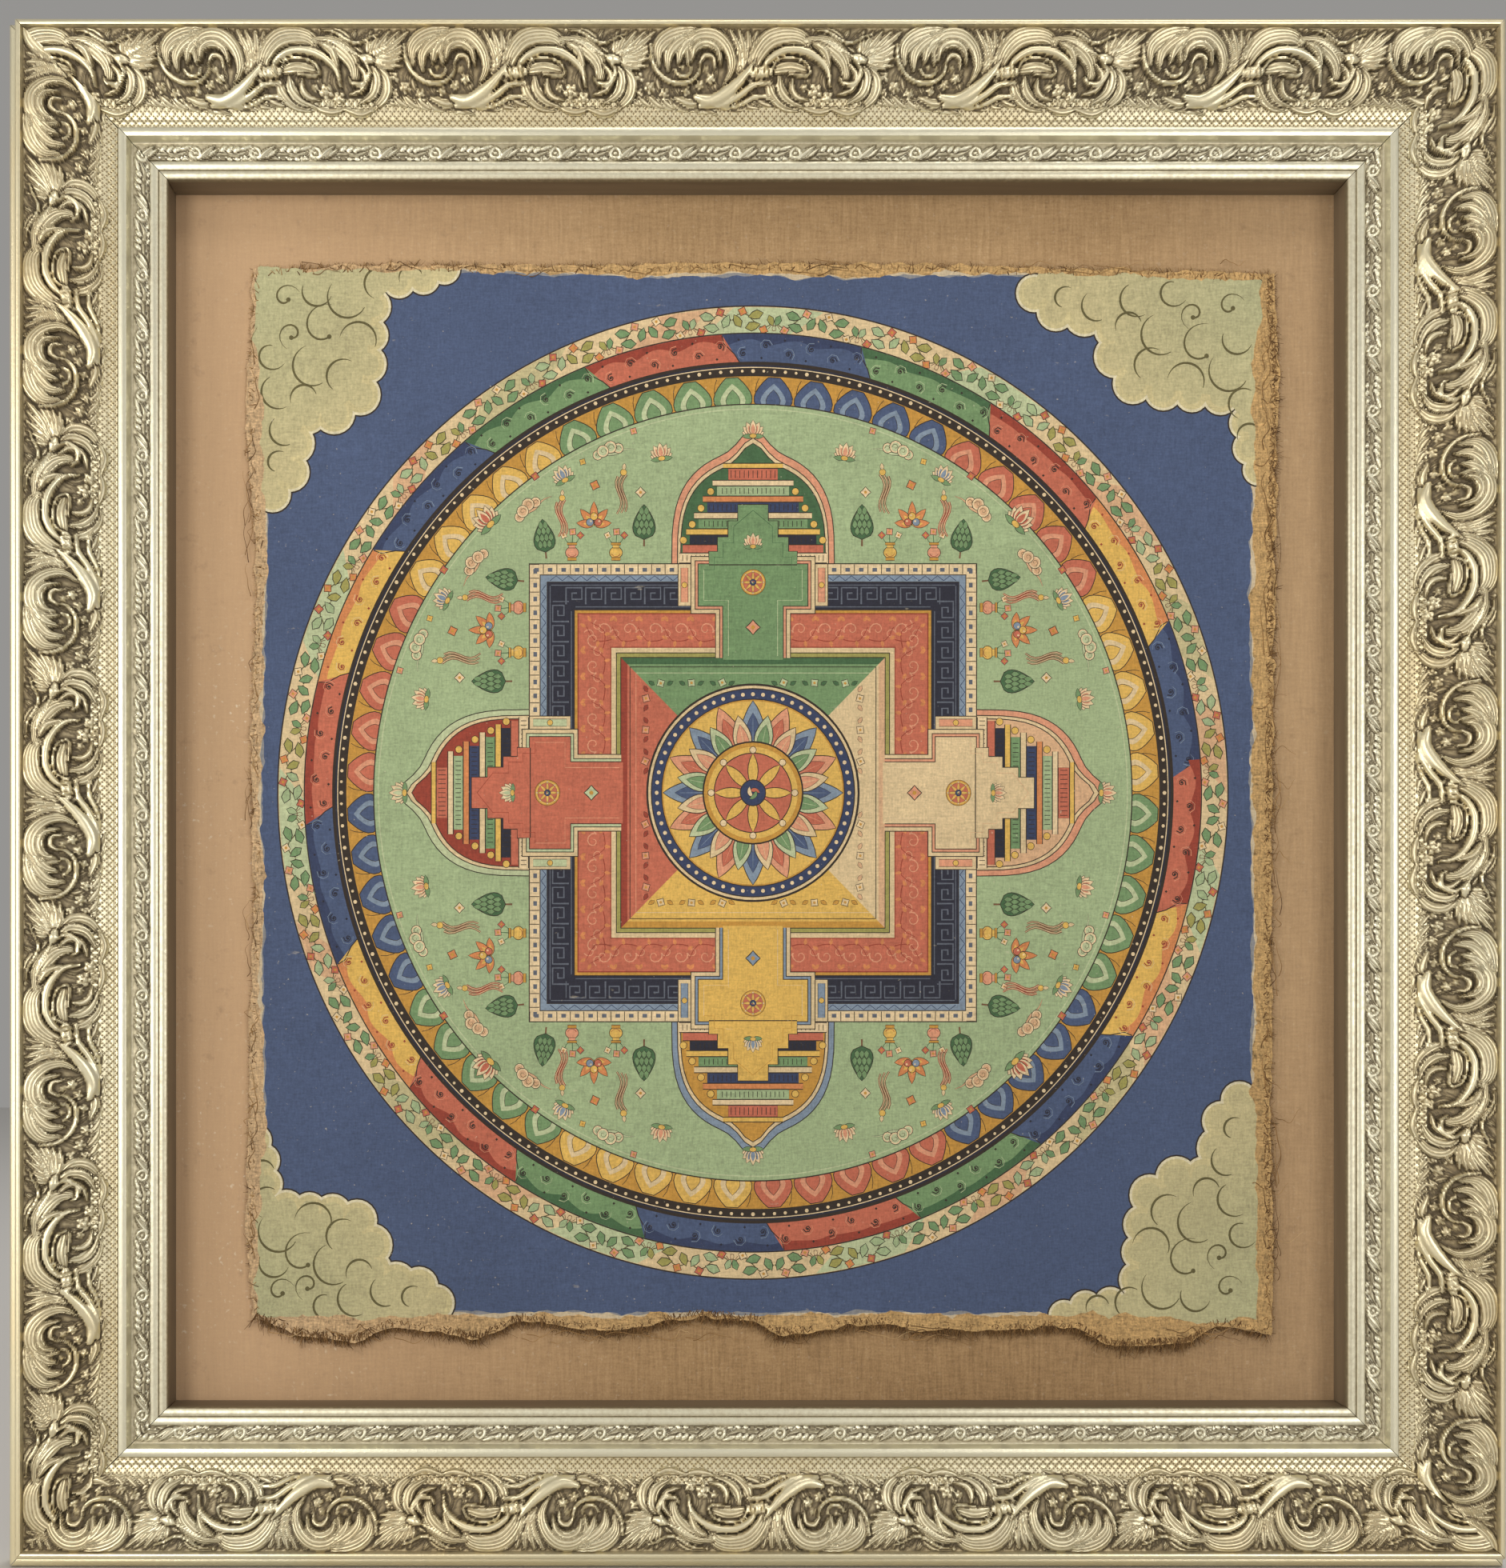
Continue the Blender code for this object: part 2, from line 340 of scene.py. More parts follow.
def bowed(start, end, crown, steps):
    """Points after start up to end on a low arc that stands crown off the chord's middle,
    as the parabola crown * (1 - q * q), with q from -1 to 1."""
    share = np.arange(1, steps + 1) / steps
    run = np.subtract(end, start)
    proud = np.array([run[1], -run[0]]) / np.hypot(*run)
    rise = crown * (1 - (2 * share - 1) ** 2)
    return start + run * share[:, None] + proud * rise[:, None]


def section_line(rows):
    """The section's points in millimetres, from its table."""
    arcs = [bowed(before[:2], row[:2], *row[2:]) for before, row in zip(rows, rows[1:])]
    return np.concatenate([[rows[0][:2]], *arcs])


BASE_PROUD = -SECTION[0][0] * MM     # how far the base stands out past the rim
rim_half_width = cad_box[1].x - BASE_PROUD
rim_half_height = cad_box[1].z - BASE_PROUD


def on_rail(side, along, inward, back):
    """Points of one side of the frame, in metres, from metres along the side and millimetres
    inward from the rim and back from its front.

    Along runs to the right on the top, down on the right, to the left at the bottom and
    up on the left, so that the ornament runs round the frame one way.
    """
    depth = rim_front + back * MM
    sign = 1 if side in ("top", "right") else -1
    if side in ("top", "bottom"):
        return np.stack([sign * along, depth, sign * (rim_half_height - inward * MM)], -1)
    return np.stack([sign * (rim_half_width - inward * MM), depth, -sign * along], -1)


RAILS = (
    ("top", rim_half_width),
    ("right", rim_half_height),
    ("bottom", rim_half_width),
    ("left", rim_half_height),
)


SILVER = (0.0498, 0.0505)          # in from the rim: where the gold leaf ends and the silver starts
BARE_BACK = (0.0243, 0.0247)       # back from the frame's middle: where the leaf ends on the edge


def leaf_finish(name):
    """Pale silver-gold leaf over dark glaze, which stays in the hollows, and plainer silver
    on the inner moulding. The back, on the wall, is bare softwood.

    The mesh carries hollow, 1 in the deepest, and vein, whose whole numbers are the fine
    ridges of the carving.
    """
    finish = Finish(name, IOR=1.6)
    cloud = finish.noise(9.0, 3.0)
    flecks = finish.noise(420.0, 2.0)
    brushed = finish.noise(1100.0, 2.0)
    vein = (finish.attribute("vein") * (2 * math.pi)).math("COSINE") * 0.5 + 0.5
    furrow = (1.0 - vein) * 0.50
    sunk = finish.attribute("hollow") * 1.10 + furrow
    glaze = (sunk + (flecks - 0.5) * 0.42 + (cloud - 0.5) * 0.24 - 0.12).clamped()
    colour = finish.ramp(
        glaze,
        (
            (0.0, (0.85, 0.80, 0.615)),
            (0.30, (0.57, 0.50, 0.345)),
            (0.62, (0.245, 0.198, 0.118)),
            (1.0, (0.100, 0.076, 0.042)),
        ),
    )
    warm = finish.mix(cloud.between(0.35, 0.75), (0.95, 0.95, 0.90), (1.0, 0.93, 0.78))
    across, up = finish.axis(0).math("ABSOLUTE"), finish.axis(2).math("ABSOLUTE")
    within = across.between(rim_half_width - SILVER[0], rim_half_width - SILVER[1])
    within = within * up.between(rim_half_height - SILVER[0], rim_half_height - SILVER[1])
    warm = finish.mix(within, warm, (0.93, 0.955, 0.97))
    back = finish.axis(1).between(*BARE_BACK)
    mitre = rim_half_height - rim_half_width
    lying = (up - across).between(mitre - 0.1 * MM, mitre + 0.1 * MM)
    grain = finish.noise(420.0, 4.0, 0.6, stretch=(0.04, 1.0, 1.0)) * lying
    grain = grain + finish.noise(420.0, 4.0, 0.6, stretch=(1.0, 1.0, 0.04)) * (1.0 - lying)
    wood = finish.mix(grain.between(0.32, 0.68), (0.33, 0.22, 0.115), (0.60, 0.45, 0.28))
    finish.drive(
        Base_Color=finish.mix(back, finish.mix(1.0, colour, warm, "MULTIPLY"), wood),
        Metallic=(0.74 - glaze * 0.70).clamped() * (1.0 - back),
        Roughness=(0.34 + glaze * 0.34 + (brushed - 0.5) * 0.16) * (1.0 - back) + back * 0.75,
    )
    finish.bump(vein * 0.75 + flecks * 0.15 + brushed * 0.1, 0.9, 0.00045)
    return finish


plain_leaf = leaf_finish("leaf_on_moulding")


def section_hollows(line):
    """How sunk each point of the section is: most at the foot of a step, 0 on a crown. The
    lip, which is handled most, has lost its shine and counts for a little more."""
    hollow = np.zeros(len(line))
    for reach in (2.0, 5.0):
        gap = np.hypot(line[:, None, 0] - line[None, :, 0], line[:, None, 1] - line[None, :, 1])
        weight = np.exp(-((gap / reach) ** 2))
        middle = (weight * line[None, :, 1]).sum(1) / weight.sum(1)
        hollow += (line[:, 1] - middle) / reach
    lip = 0.13 * np.clip((line[:, 0] - 64.0) / 3.0, 0, 1)
    return np.clip(hollow * 0.7 + 0.12 + lip, 0, 0.75)


MOULDING_COLUMNS = 25

for side, half_length in RAILS:
    line = section_line(SECTION)
    along = np.linspace(-1, 1, MOULDING_COLUMNS) * (half_length - line[:, :1] * MM - MITRE_GAP)
    inward, back = (np.broadcast_to(line[:, k : k + 1], along.shape) for k in (0, 1))
    points = on_rail(side, along, inward, back).reshape(-1, 3)
    moulding = mesh_piece(f"moulding_{side}", points, *length_faces(*along.shape), plain_leaf, soft=28)
    carry(moulding, "hollow", np.repeat(section_hollows(line), MOULDING_COLUMNS))
    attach(moulding, "root")
    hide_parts(f"frame_{side}")

# ---------------------------------------------------------------------------
# Cast ornament: strips of composition pressed in moulds and laid on the moulding
# before it is leafed: running leaf scrolls on the band, a lattice of lozenges on
# the slope inside it, and small leaves between the ridge and the lip.
# ---------------------------------------------------------------------------


def eased(points, count=26):
    """A smooth line through a few points: each stretch is the Catmull-Rom cubic of its four
    nearest."""
    p = np.array(points, float)
    if len(p) < 3:
        share = np.linspace(0, 1, count)[:, None]
        return p[0] * (1 - share) + p[-1] * share
    q = np.vstack([2 * p[0] - p[1], p, 2 * p[-1] - p[-2]])
    u = np.linspace(0, len(p) - 1 - 1e-9, count)
    i = u.astype(int)
    f = (u - i)[:, None]
    a, b, c, d = q[i], q[i + 1], q[i + 2], q[i + 3]
    return 0.5 * (
        2 * b + (c - a) * f + (2 * a - 5 * b + 4 * c - d) * f**2 + (3 * b - a - 3 * c + d) * f**3
    )


VEIN_PITCH = 1.7     # millimetres from one fine ridge to the next
MOAT = 0.75          # width of the line cut round a leaf
FLUTE_WIDTH = 1.25
FLUTE_DEPTH = 0.46


class Relief:
    """One repeat of a cast ornament over its length and width, in millimetres: its heights,
    its fine ridges (vein, counted from a leaf's middle) and the lines round its leaves (gloom)."""

    def __init__(self, length, width, cell, ground):
        self.length, self.width, self.cell = length, width, cell
        self.s = np.arange(0, length - cell / 2, cell)
        self.t = np.arange(0, width + cell / 2, cell)
        self.across, self.down = np.meshgrid(self.s, self.t, indexing="ij")
        self.height = np.full(self.across.shape, ground)
        self.vein = np.zeros(self.across.shape)
        self.gloom = np.zeros(self.across.shape)

    def leaf(self, path, half_width, rise, base, tilt, root, tip, veined=1):
        """Lays one rounded leaf or stem along path, over what is lower.

        Its half width swells from root to full and narrows to tip, as sines of the share of
        the way along. Its height is base, plus rise times a half ellipse across, plus tilt
        to one side, less broad flutes. A sunk line is cut round it in what lies lower.
        """
        path = np.asarray(path, float)
        share = np.linspace(0, 1, len(path))
        swell = root + (1 - root) * np.sin(np.clip(share / 0.45, 0, 1) * math.pi / 2)
        narrow = tip + (1 - tip) * np.sin(np.clip((1 - share) / 0.55, 0, 1) * math.pi / 2)
        width = half_width * np.clip(np.minimum(swell, narrow), 0.05, 1)
        for shift in (-self.length, 0, self.length):
            self._lay(path + [shift, 0], share, width, half_width, rise, base, tilt, veined)

    def _lay(self, path, share, width, widest, rise, base, tilt, veined):
        """One copy of a leaf. Over the cells that it reaches: nearest is the distance from its
        midline as a share of its half width, offset the same with a side, way the share along."""
        low, high = path.min(0) - widest - MOAT, path.max(0) + widest + MOAT
        i0, i1 = np.searchsorted(self.s, [low[0], high[0]])
        j0, j1 = np.searchsorted(self.t, [low[1], high[1]])
        if i0 >= i1 or j0 >= j1:
            return
        x, y = self.across[i0:i1, j0:j1], self.down[i0:i1, j0:j1]
        nearest = np.full(x.shape, 99.0)
        offset, way, local = np.zeros_like(x), np.zeros_like(x), np.ones_like(x)
        for a in range(len(path) - 1):
            run = path[a + 1] - path[a]
            length = max(np.hypot(*run), 1e-6)
            f = np.clip(((x - path[a, 0]) * run[0] + (y - path[a, 1]) * run[1]) / length**2, 0, 1)
            dx, dy = x - path[a, 0] - f * run[0], y - path[a, 1] - f * run[1]
            here = width[a] + (width[a + 1] - width[a]) * f
            q = np.hypot(dx, dy) / here
            nearer = q < nearest
            nearest = np.where(nearer, q, nearest)
            offset = np.where(nearer, np.sign(run[0] * dy - run[1] * dx) * q, offset)
            way = np.where(nearer, share[a] + f * share[1], way)
            local = np.where(nearer, here, local)
        dome = np.sqrt(np.clip(1 - nearest**2, 0, 1))
        swell = 0.55 + 0.45 * np.sin(math.pi * np.clip(way, 0, 1) ** 0.8)
        top = base + rise * swell * (0.25 + 0.75 * dome) + tilt * offset
        flutes = max(1, round(widest / FLUTE_WIDTH)) * veined
        fade = np.clip(2.2 * (1 - nearest), 0, 1)
        top -= FLUTE_DEPTH * (0.5 - 0.5 * np.cos(math.pi * flutes * (offset + 1))) * fade
        here = self.height[i0:i1, j0:j1]
        over = (nearest < 1) & (top > here)
        moat = (nearest >= 1) & ((nearest - 1) * local < MOAT) & (here < base + 0.5 * rise)
        gloom = self.gloom[i0:i1, j0:j1]
        vein = self.vein[i0:i1, j0:j1]
        self.gloom[i0:i1, j0:j1] = np.where(over, 0.0, np.where(moat, 1.0, gloom))
        here = np.where(moat & (here > 0.06), np.maximum(here - 0.7, 0.06), here)
        self.height[i0:i1, j0:j1] = np.where(over, top, here)
        self.vein[i0:i1, j0:j1] = np.where(over, veined * offset * widest / VEIN_PITCH, vein)

    def leaves(self, rows):
        """Lays a table's leaves, in its order."""
        for half_width, rise, base, tilt, root, tip, veined, path in rows:
            self.leaf(eased(path), half_width, rise, base, tilt, root, tip, veined)

    def blossom(self, place, radius, base):
        """Five round petals about a button."""
        for k in range(5):
            turn = 2 * math.pi * k / 5 + 0.4
            ray = np.array([math.cos(turn), math.sin(turn)]) * radius
            self.leaf([place + 0.35 * ray, place + ray * 0.7], radius * 0.42, 1.4, base, 0, 0.8, 0.8, 0)
        self.leaf([np.subtract(place, (0.1, 0)), place], radius * 0.33, 1.2, base + 1.1, 0, 1, 1, 0)

    def hollows(self, reach):
        """How sunk each place is, from 0 to 1: by the mean height within reach less its own, by
        how low it is, and by the lines round the leaves."""
        mean = self.height.copy()
        steps = int(reach / self.cell)
        for axis in (0, 1):
            total = sum(np.roll(mean, k, axis) for k in range(-steps, steps + 1))
            mean = total / (2 * steps + 1)
        low = 1 - np.clip(self.height / (0.9 * reach), 0, 1)
        return np.clip((mean - self.height) * 0.5 + low * 0.6 + 0.4 * self.gloom, 0, 1)

    def read(self, field, along, down):
        """A field at places along (which repeats) and down, between its cells by equal shares."""
        u = np.mod(along, self.length) / self.cell
        v = np.clip(down / self.cell, 0, len(self.t) - 1.001)
        i, j = u.astype(int) % len(self.s), v.astype(int)
        fu, fv = u - u.astype(int), v - j
        k = (i + 1) % len(self.s)
        return (
            field[i, j] * (1 - fu) * (1 - fv)
            + field[k, j] * fu * (1 - fv)
            + field[i, j + 1] * (1 - fu) * fv
            + field[k, j + 1] * fu * fv
        )


def leaf_scroll():
    """The wide scroll: an arching leaf over a shell, a knot with a fan, a ringed leaf, a sheaf and stem."""
    tile = Relief(133.0, 43.0, 0.4, -0.9)
    tile.height[:, :] = np.where(tile.down < 35.0 + 1.5 * np.sin(tile.across * 0.19), 0.15, -0.9)
    # count; half width, rise, base of the first and of the last, tilt; first path; last path
    SHEAVES = (
        # low leaves at the back, the length of the repeat
        (15, 3.6, 0.9, 0.2, 0.2, 0.5, ((-6, 16), (-3, 9), (3, 1.0)), ((118, 16), (121, 9), (127, 1.0))),
        (13, 3.4, 0.8, 0.1, 0.1, -0.5, ((-4, 18), (-6, 26), (-1, 34)), ((119, 18), (117, 26), (122, 34))),
        # lobes along the foot
        (7, 2.4, 1.4, 0.3, 0.5, 0.5, ((60, 30), (64, 34), (69, 36.5)), ((97, 34), (104, 38), (111, 40.5))),
        (3, 2.6, 1.4, 0.3, 0.5, -0.4, ((114, 35), (119, 38), (126, 38.5)), ((128, 31), (135, 35), (143, 37))),
        # the sheaf behind the stem's end
        (8, 2.6, 1.7, 0.6, 0.9, 0.7, ((122, 24), (116, 12), (107, 0.5)), ((126, 22), (134, 10), (141, 2.5))),
        # the fan that springs from the knot
        (5, 2.3, 1.6, 0.5, 0.8, 0.6, ((54, 15), (54, 8), (56, 1.5)), ((54, 15), (66, 9), (76, 2.0))),
        (4, 1.9, 1.6, 1.0, 1.3, 0.5, ((55, 15), (66, 12), (76, 7)), ((55, 15.5), (64, 18), (72, 18))),
    )
    # half width, rise, base, tilt, root, tip, veined; path
    LEAVES = (
        # behind the arch: the two rolled edges and the leaf between them
        (2.8, 1.5, 0.8, 0.5, 0.4, 0.3, 1, ((30, 1.0), (39, 3.0), (46, 8.5), (53, 13))),
        (0.9, 1.6, 1.8, 0.0, 0.5, 0.5, 0, ((28, 1.2), (36, 2.2), (43, 6.0), (49, 7.6), (55, 5.0), (61, 3.0))),
        (1.1, 2.0, 2.0, 0.0, 0.4, 0.7, 0, ((31, 6.0), (39, 8.0), (46, 12.0), (53, 15))),
        # the bowl under the arch, its left and its right
        (3.3, 1.9, 0.8, 0.6, 0.4, 0.3, 1, ((5, 23), (7, 30), (13, 36), (22, 39))),
        (2.7, 2.0, 1.4, 0.6, 0.4, 0.3, 1, ((11, 23), (12, 29), (17, 34), (26, 37.5))),
        (1.9, 2.0, 2.0, 0.4, 0.4, 0.3, 1, ((18, 24), (18, 29), (21, 32.5), (27, 34))),
        (3.6, 1.9, 1.0, -0.6, 0.4, 0.4, 1, ((59, 19), (63, 25), (62, 32), (55, 38.5))),
        (2.8, 2.0, 1.6, -0.6, 0.4, 0.3, 1, ((54, 17), (58, 23.5), (56, 31), (48, 36))),
        (2.2, 1.9, 1.2, -0.3, 0.5, 0.5, 1, ((24, 37.5), (33, 39.5), (42, 37.5))),
        (2.4, 1.9, 1.4, -0.3, 0.5, 0.5, 1, ((40, 38), (49, 40.5), (57, 37.5))),
        # the arching leaf, its second length, and the hook between
        (5.2, 2.9, 0.9, 0.9, 0.35, 0.35, 1, ((-5, 25), (-2, 14), (5, 6.0), (14, 3.6), (23, 5.0), (30, 12.5))),
        (4.6, 2.7, 1.3, 0.9, 0.35, 0.25, 1, ((26, 6.0), (35, 7.5), (43, 12.5), (47, 19), (46, 27.5))),
        (2.3, 2.2, 2.6, 0.3, 0.4, 0.3, 1, ((29, 8.0), (35, 11.5), (38, 19))),
        (2.0, 2.0, 2.4, -0.4, 0.4, 0.3, 1, ((49, 18), (52.5, 23), (50, 29), (43, 31.5))),
        (1.2, 2.0, 2.9, 0.0, 0.5, 0.4, 0, ((52, 16), (55, 21.5), (51.5, 26.5), (45.5, 26.5), (43.5, 23.5))),
        # the smooth arch, and the shell under it with its rolled edge
        (3.4, 1.9, 1.4, 0.2, 0.6, 0.6, 1, ((8, 20), (16.5, 18.6), (25, 20.2))),
        (2.1, 2.6, 2.0, 0.0, 0.4, 0.35, 0,
         ((1, 24), (4, 16.5), (12, 11.6), (22, 11.2), (31, 14.5), (37, 20.5), (38.5, 28))),
        (0.8, 1.5, 2.3, 0.0, 0.9, 0.9, 0,
         ((6.5, 20.5), (9.5, 15.8), (17, 14.6), (24.5, 16.4), (27.5, 21), (25, 22.8), (16, 22))),
        # the ring, and the leaves that fall inside it
        (1.3, 2.2, 1.8, 0.0, 0.5, 0.4, 0,
         ((74, 8), (75, 16), (79.5, 22.5), (87, 26), (95, 25.5), (100, 21.5), (101, 16))),
        (4.6, 2.6, 0.9, -0.8, 0.35, 0.3, 1, ((106, 3.5), (95, 1.8), (84, 4.5), (78, 10), (78, 17.5))),
        (3.8, 2.4, 1.5, -0.8, 0.35, 0.25, 1, ((104, 4.5), (96, 3.8), (88, 7.5), (83.5, 13), (83.5, 20))),
        (2.9, 2.3, 2.1, -0.6, 0.35, 0.25, 1, ((101, 5.5), (95, 6.8), (90.5, 11), (89, 17))),
        (3.6, 2.6, 1.8, 0.8, 0.3, 0.25, 1,
         ((94.5, 17), (94, 9.0), (100, 3.8), (109, 4.2), (116, 10.5), (118, 19), (114, 27))),
        (2.6, 2.3, 2.6, 0.5, 0.3, 0.25, 1, ((96.5, 15.5), (98, 10), (104, 7.6), (110, 10.5), (112, 18))),
        (1.0, 1.5, 1.2, 0.0, 0.7, 0.5, 0, ((87, 19.5), (90, 22.6), (95, 22), (96, 18.5))),
        (1.4, 1.6, 1.4, 0.2, 0.5, 0.5, 1, ((100.5, 17), (103.5, 13.2), (108, 14.5), (108.5, 19))),
        # the stem: its sheath, which splits, and two tendrils under it
        (2.3, 2.0, 1.0, 0.3, 0.6, 0.5, 1, ((88, 33), (96, 35.5), (103, 33.5))),
        (3.2, 3.0, 1.9, 0.3, 0.55, 0.12, 0, ((99, 32.5), (107, 34), (116, 30), (124.5, 23), (131, 15.5))),
        (1.8, 2.4, 1.5, 0.0, 0.7, 0.5, 0, ((101, 36.5), (112, 36.5), (122, 32), (130, 27), (139, 26))),
        (1.3, 2.0, 1.0, 0.0, 0.5, 0.5, 0, ((113, 38.5), (123, 36), (131, 32.5), (139, 33), (144, 37))),
        # the collar where it enters the arch
        (2.7, 1.9, 2.6, 0.0, 0.85, 0.85, 0, ((-3, 21.8), (1, 21.2), (5, 21))),
        (0.75, 1.2, 4.0, 0.0, 1.0, 1.0, 0, ((-2.2, 19.2), (-1.4, 24.2))),
        (0.75, 1.2, 4.0, 0.0, 1.0, 1.0, 0, ((3.4, 18.6), (4.2, 23.6))),
        # the knot
        (2.2, 1.6, 3.0, 0.0, 0.8, 0.8, 0, ((51.5, 14.6), (56, 15.6))),
    )
    # along, down, radius, base
    BLOSSOMS = (
        (30.5, 30.0, 3.8, 1.0), (37.5, 33.0, 3.4, 1.2), (31.0, 36.0, 2.6, 0.8), (24.5, 28.0, 2.2, 1.0),
        (67.0, 23.5, 3.2, 0.8), (73.5, 28.0, 3.0, 0.9), (67.5, 30.5, 2.6, 0.7), (81.5, 31.0, 2.8, 0.9),
        (93.0, 29.5, 2.6, 1.2), (100.5, 27.0, 2.6, 1.2), (106.5, 24.0, 2.8, 1.4), (104.0, 19.5, 2.0, 1.2),
        (91.3, 18.6, 1.8, 0.8), (121.5, 34.0, 2.2, 0.8),
    )
    for count, half_width, rise, base, last_base, tilt, first, last in SHEAVES:
        for a in np.linspace(0, 1, count):
            places = np.array(first) * (1 - a) + np.array(last) * a
            tile.leaf(eased(places), half_width, rise, base + (last_base - base) * a, tilt, 0.35, 0.35)
    for along, down, radius, base in BLOSSOMS:
        tile.blossom(np.array([along, down]), radius, base)
    tile.leaves(LEAVES)
    return tile


def small_leaves():
    """The narrow strip: bright lobes over a long curved leaf, a ring, and a leaf that crosses."""
    tile = Relief(33.0, 9.2, 0.25, 0.2)
    LEAVES = (
        # half width, rise, base, tilt, root, tip, veined; path
        (1.7, 0.8, 0.2, 0.2, 0.4, 0.3, 1, ((-4, 8.8), (4, 7.4), (11, 7.8), (18, 6.0))),
        (1.5, 1.0, 0.5, 0.3, 0.4, 0.2, 1, ((-3, 6.6), (4, 5.2), (11, 6.0), (17, 4.0))),
        (1.3, 1.2, 0.6, 0.0, 0.8, 0.6, 0, ((2.5, 3.6), (4.6, 1.7))),
        (1.3, 1.2, 0.6, 0.0, 0.8, 0.6, 0, ((6.0, 4.0), (8.2, 2.0))),
        (1.3, 1.2, 0.6, 0.0, 0.8, 0.6, 0, ((9.6, 4.2), (11.8, 2.3))),
        (1.0, 1.1, 0.6, 0.0, 0.6, 0.3, 0, ((12.6, 3.4), (15.5, 2.4), (19.0, 1.4))),
        (1.5, 1.0, 0.4, 0.3, 0.4, 0.2, 1, ((24, 9.0), (29, 7.6), (34, 8.4))),
        (0.8, 1.3, 0.7, 0.0, 1.0, 1.0, 0,
         ((18.4, 4.2), (20.6, 2.6), (23.0, 4.0), (23.2, 6.6), (20.8, 7.8), (18.4, 6.6), (18.3, 4.4))),
        (0.9, 1.1, 0.7, 0.0, 1.0, 1.0, 0, ((20.6, 5.2), (20.9, 5.2))),
        (1.9, 1.3, 0.9, 0.4, 0.4, 0.2, 1, ((22.5, 8.2), (26.5, 5.0), (31.5, 1.4))),
        (1.2, 1.1, 0.8, 0.2, 0.5, 0.2, 1, ((26.0, 7.8), (30.0, 5.4), (33.6, 2.8))),
        (0.9, 1.0, 0.5, 0.0, 0.8, 0.8, 0, ((5.6, 8.2), (7.4, 8.6))),
        (0.9, 1.0, 0.5, 0.0, 0.8, 0.8, 0, ((9.6, 8.4), (11.6, 8.6))),
        (0.9, 1.0, 0.5, 0.0, 0.8, 0.8, 0, ((14.0, 8.4), (15.6, 8.2))),
    )
    tile.leaves(LEAVES)
    tile.height = 0.1 + (tile.height - 0.2) * 0.80
    return tile


cast_leaf = leaf_finish("leaf_on_ornament")
SKIRT = 0.9                             # how far a strip's long edges go into the moulding
FACE = section_line(SECTION[8:-4])      # what shows from the band's start to the lip


def strip_line(outer, inner, step):
    """The moulding's face from one distance inward to another, in even steps: its points,
    their outward normals, and how far along each is."""
    inward = np.linspace(outer, inner, int(round((inner - outer) / step)) + 1)
    line = np.stack([inward, np.interp(inward, FACE[:, 0], FACE[:, 1])], 1)
    tangent = np.gradient(line, axis=0)
    tangent /= np.linalg.norm(tangent, axis=1, keepdims=True)
    travel = np.concatenate(([0], np.cumsum(np.linalg.norm(np.diff(line, axis=0), axis=1))))
    return line, np.stack([tangent[:, 1], -tangent[:, 0]], 1), travel


def skirted(side, along, line, normal, raised):
    """Points of a strip's rows, each raised along its normal, with a row below each long edge."""
    picks = np.concatenate(([0], np.arange(len(line)), [len(line) - 1]))
    lift = raised[picks]
    lift[[0, -1]] = -SKIRT
    inward = line[picks, :1] + normal[picks, :1] * lift
    back = line[picks, 1:] + normal[picks, 1:] * lift
    return on_rail(side, along[picks], inward, back), picks


def cast_strip(side, half_length, tile, outer, inner, cell, reach, gloom):
    """A strip pressed from a relief: its points, faces, hollows, which gloom scales, and veins.
    The relief is read at the true distance along the side, so it keeps its size to the mitre."""
    line, normal, travel = strip_line(outer, inner, cell)
    columns = int(2 * half_length / (cell * MM))
    along = np.linspace(-1, 1, columns) * (half_length - line[:, :1] * MM - MITRE_GAP)
    down = np.broadcast_to(travel[:, None] * tile.width / travel[-1], along.shape)
    raised = tile.read(tile.height, along / MM, down)
    points, picks = skirted(side, along, line, normal, raised)
    loops, sizes = length_faces(len(picks), columns)
    hollow = gloom * tile.read(tile.hollows(reach), along / MM, down)[picks]
    vein = tile.read(tile.vein, along / MM, down)[picks]
    return points.reshape(-1, 3), loops, sizes, hollow.ravel(), vein.ravel()


LATTICE_STEP = 1.1
LATTICE_END = 0.3          # how far it stops short of the mitre
LATTICE_EDGES = (36.4, 49.6)
LOZENGE_RISE, GROOVE_DEPTH = 0.85, 0.75
SAME_PLACE = 0.05 * MM     # points nearer than this at the mitre are one


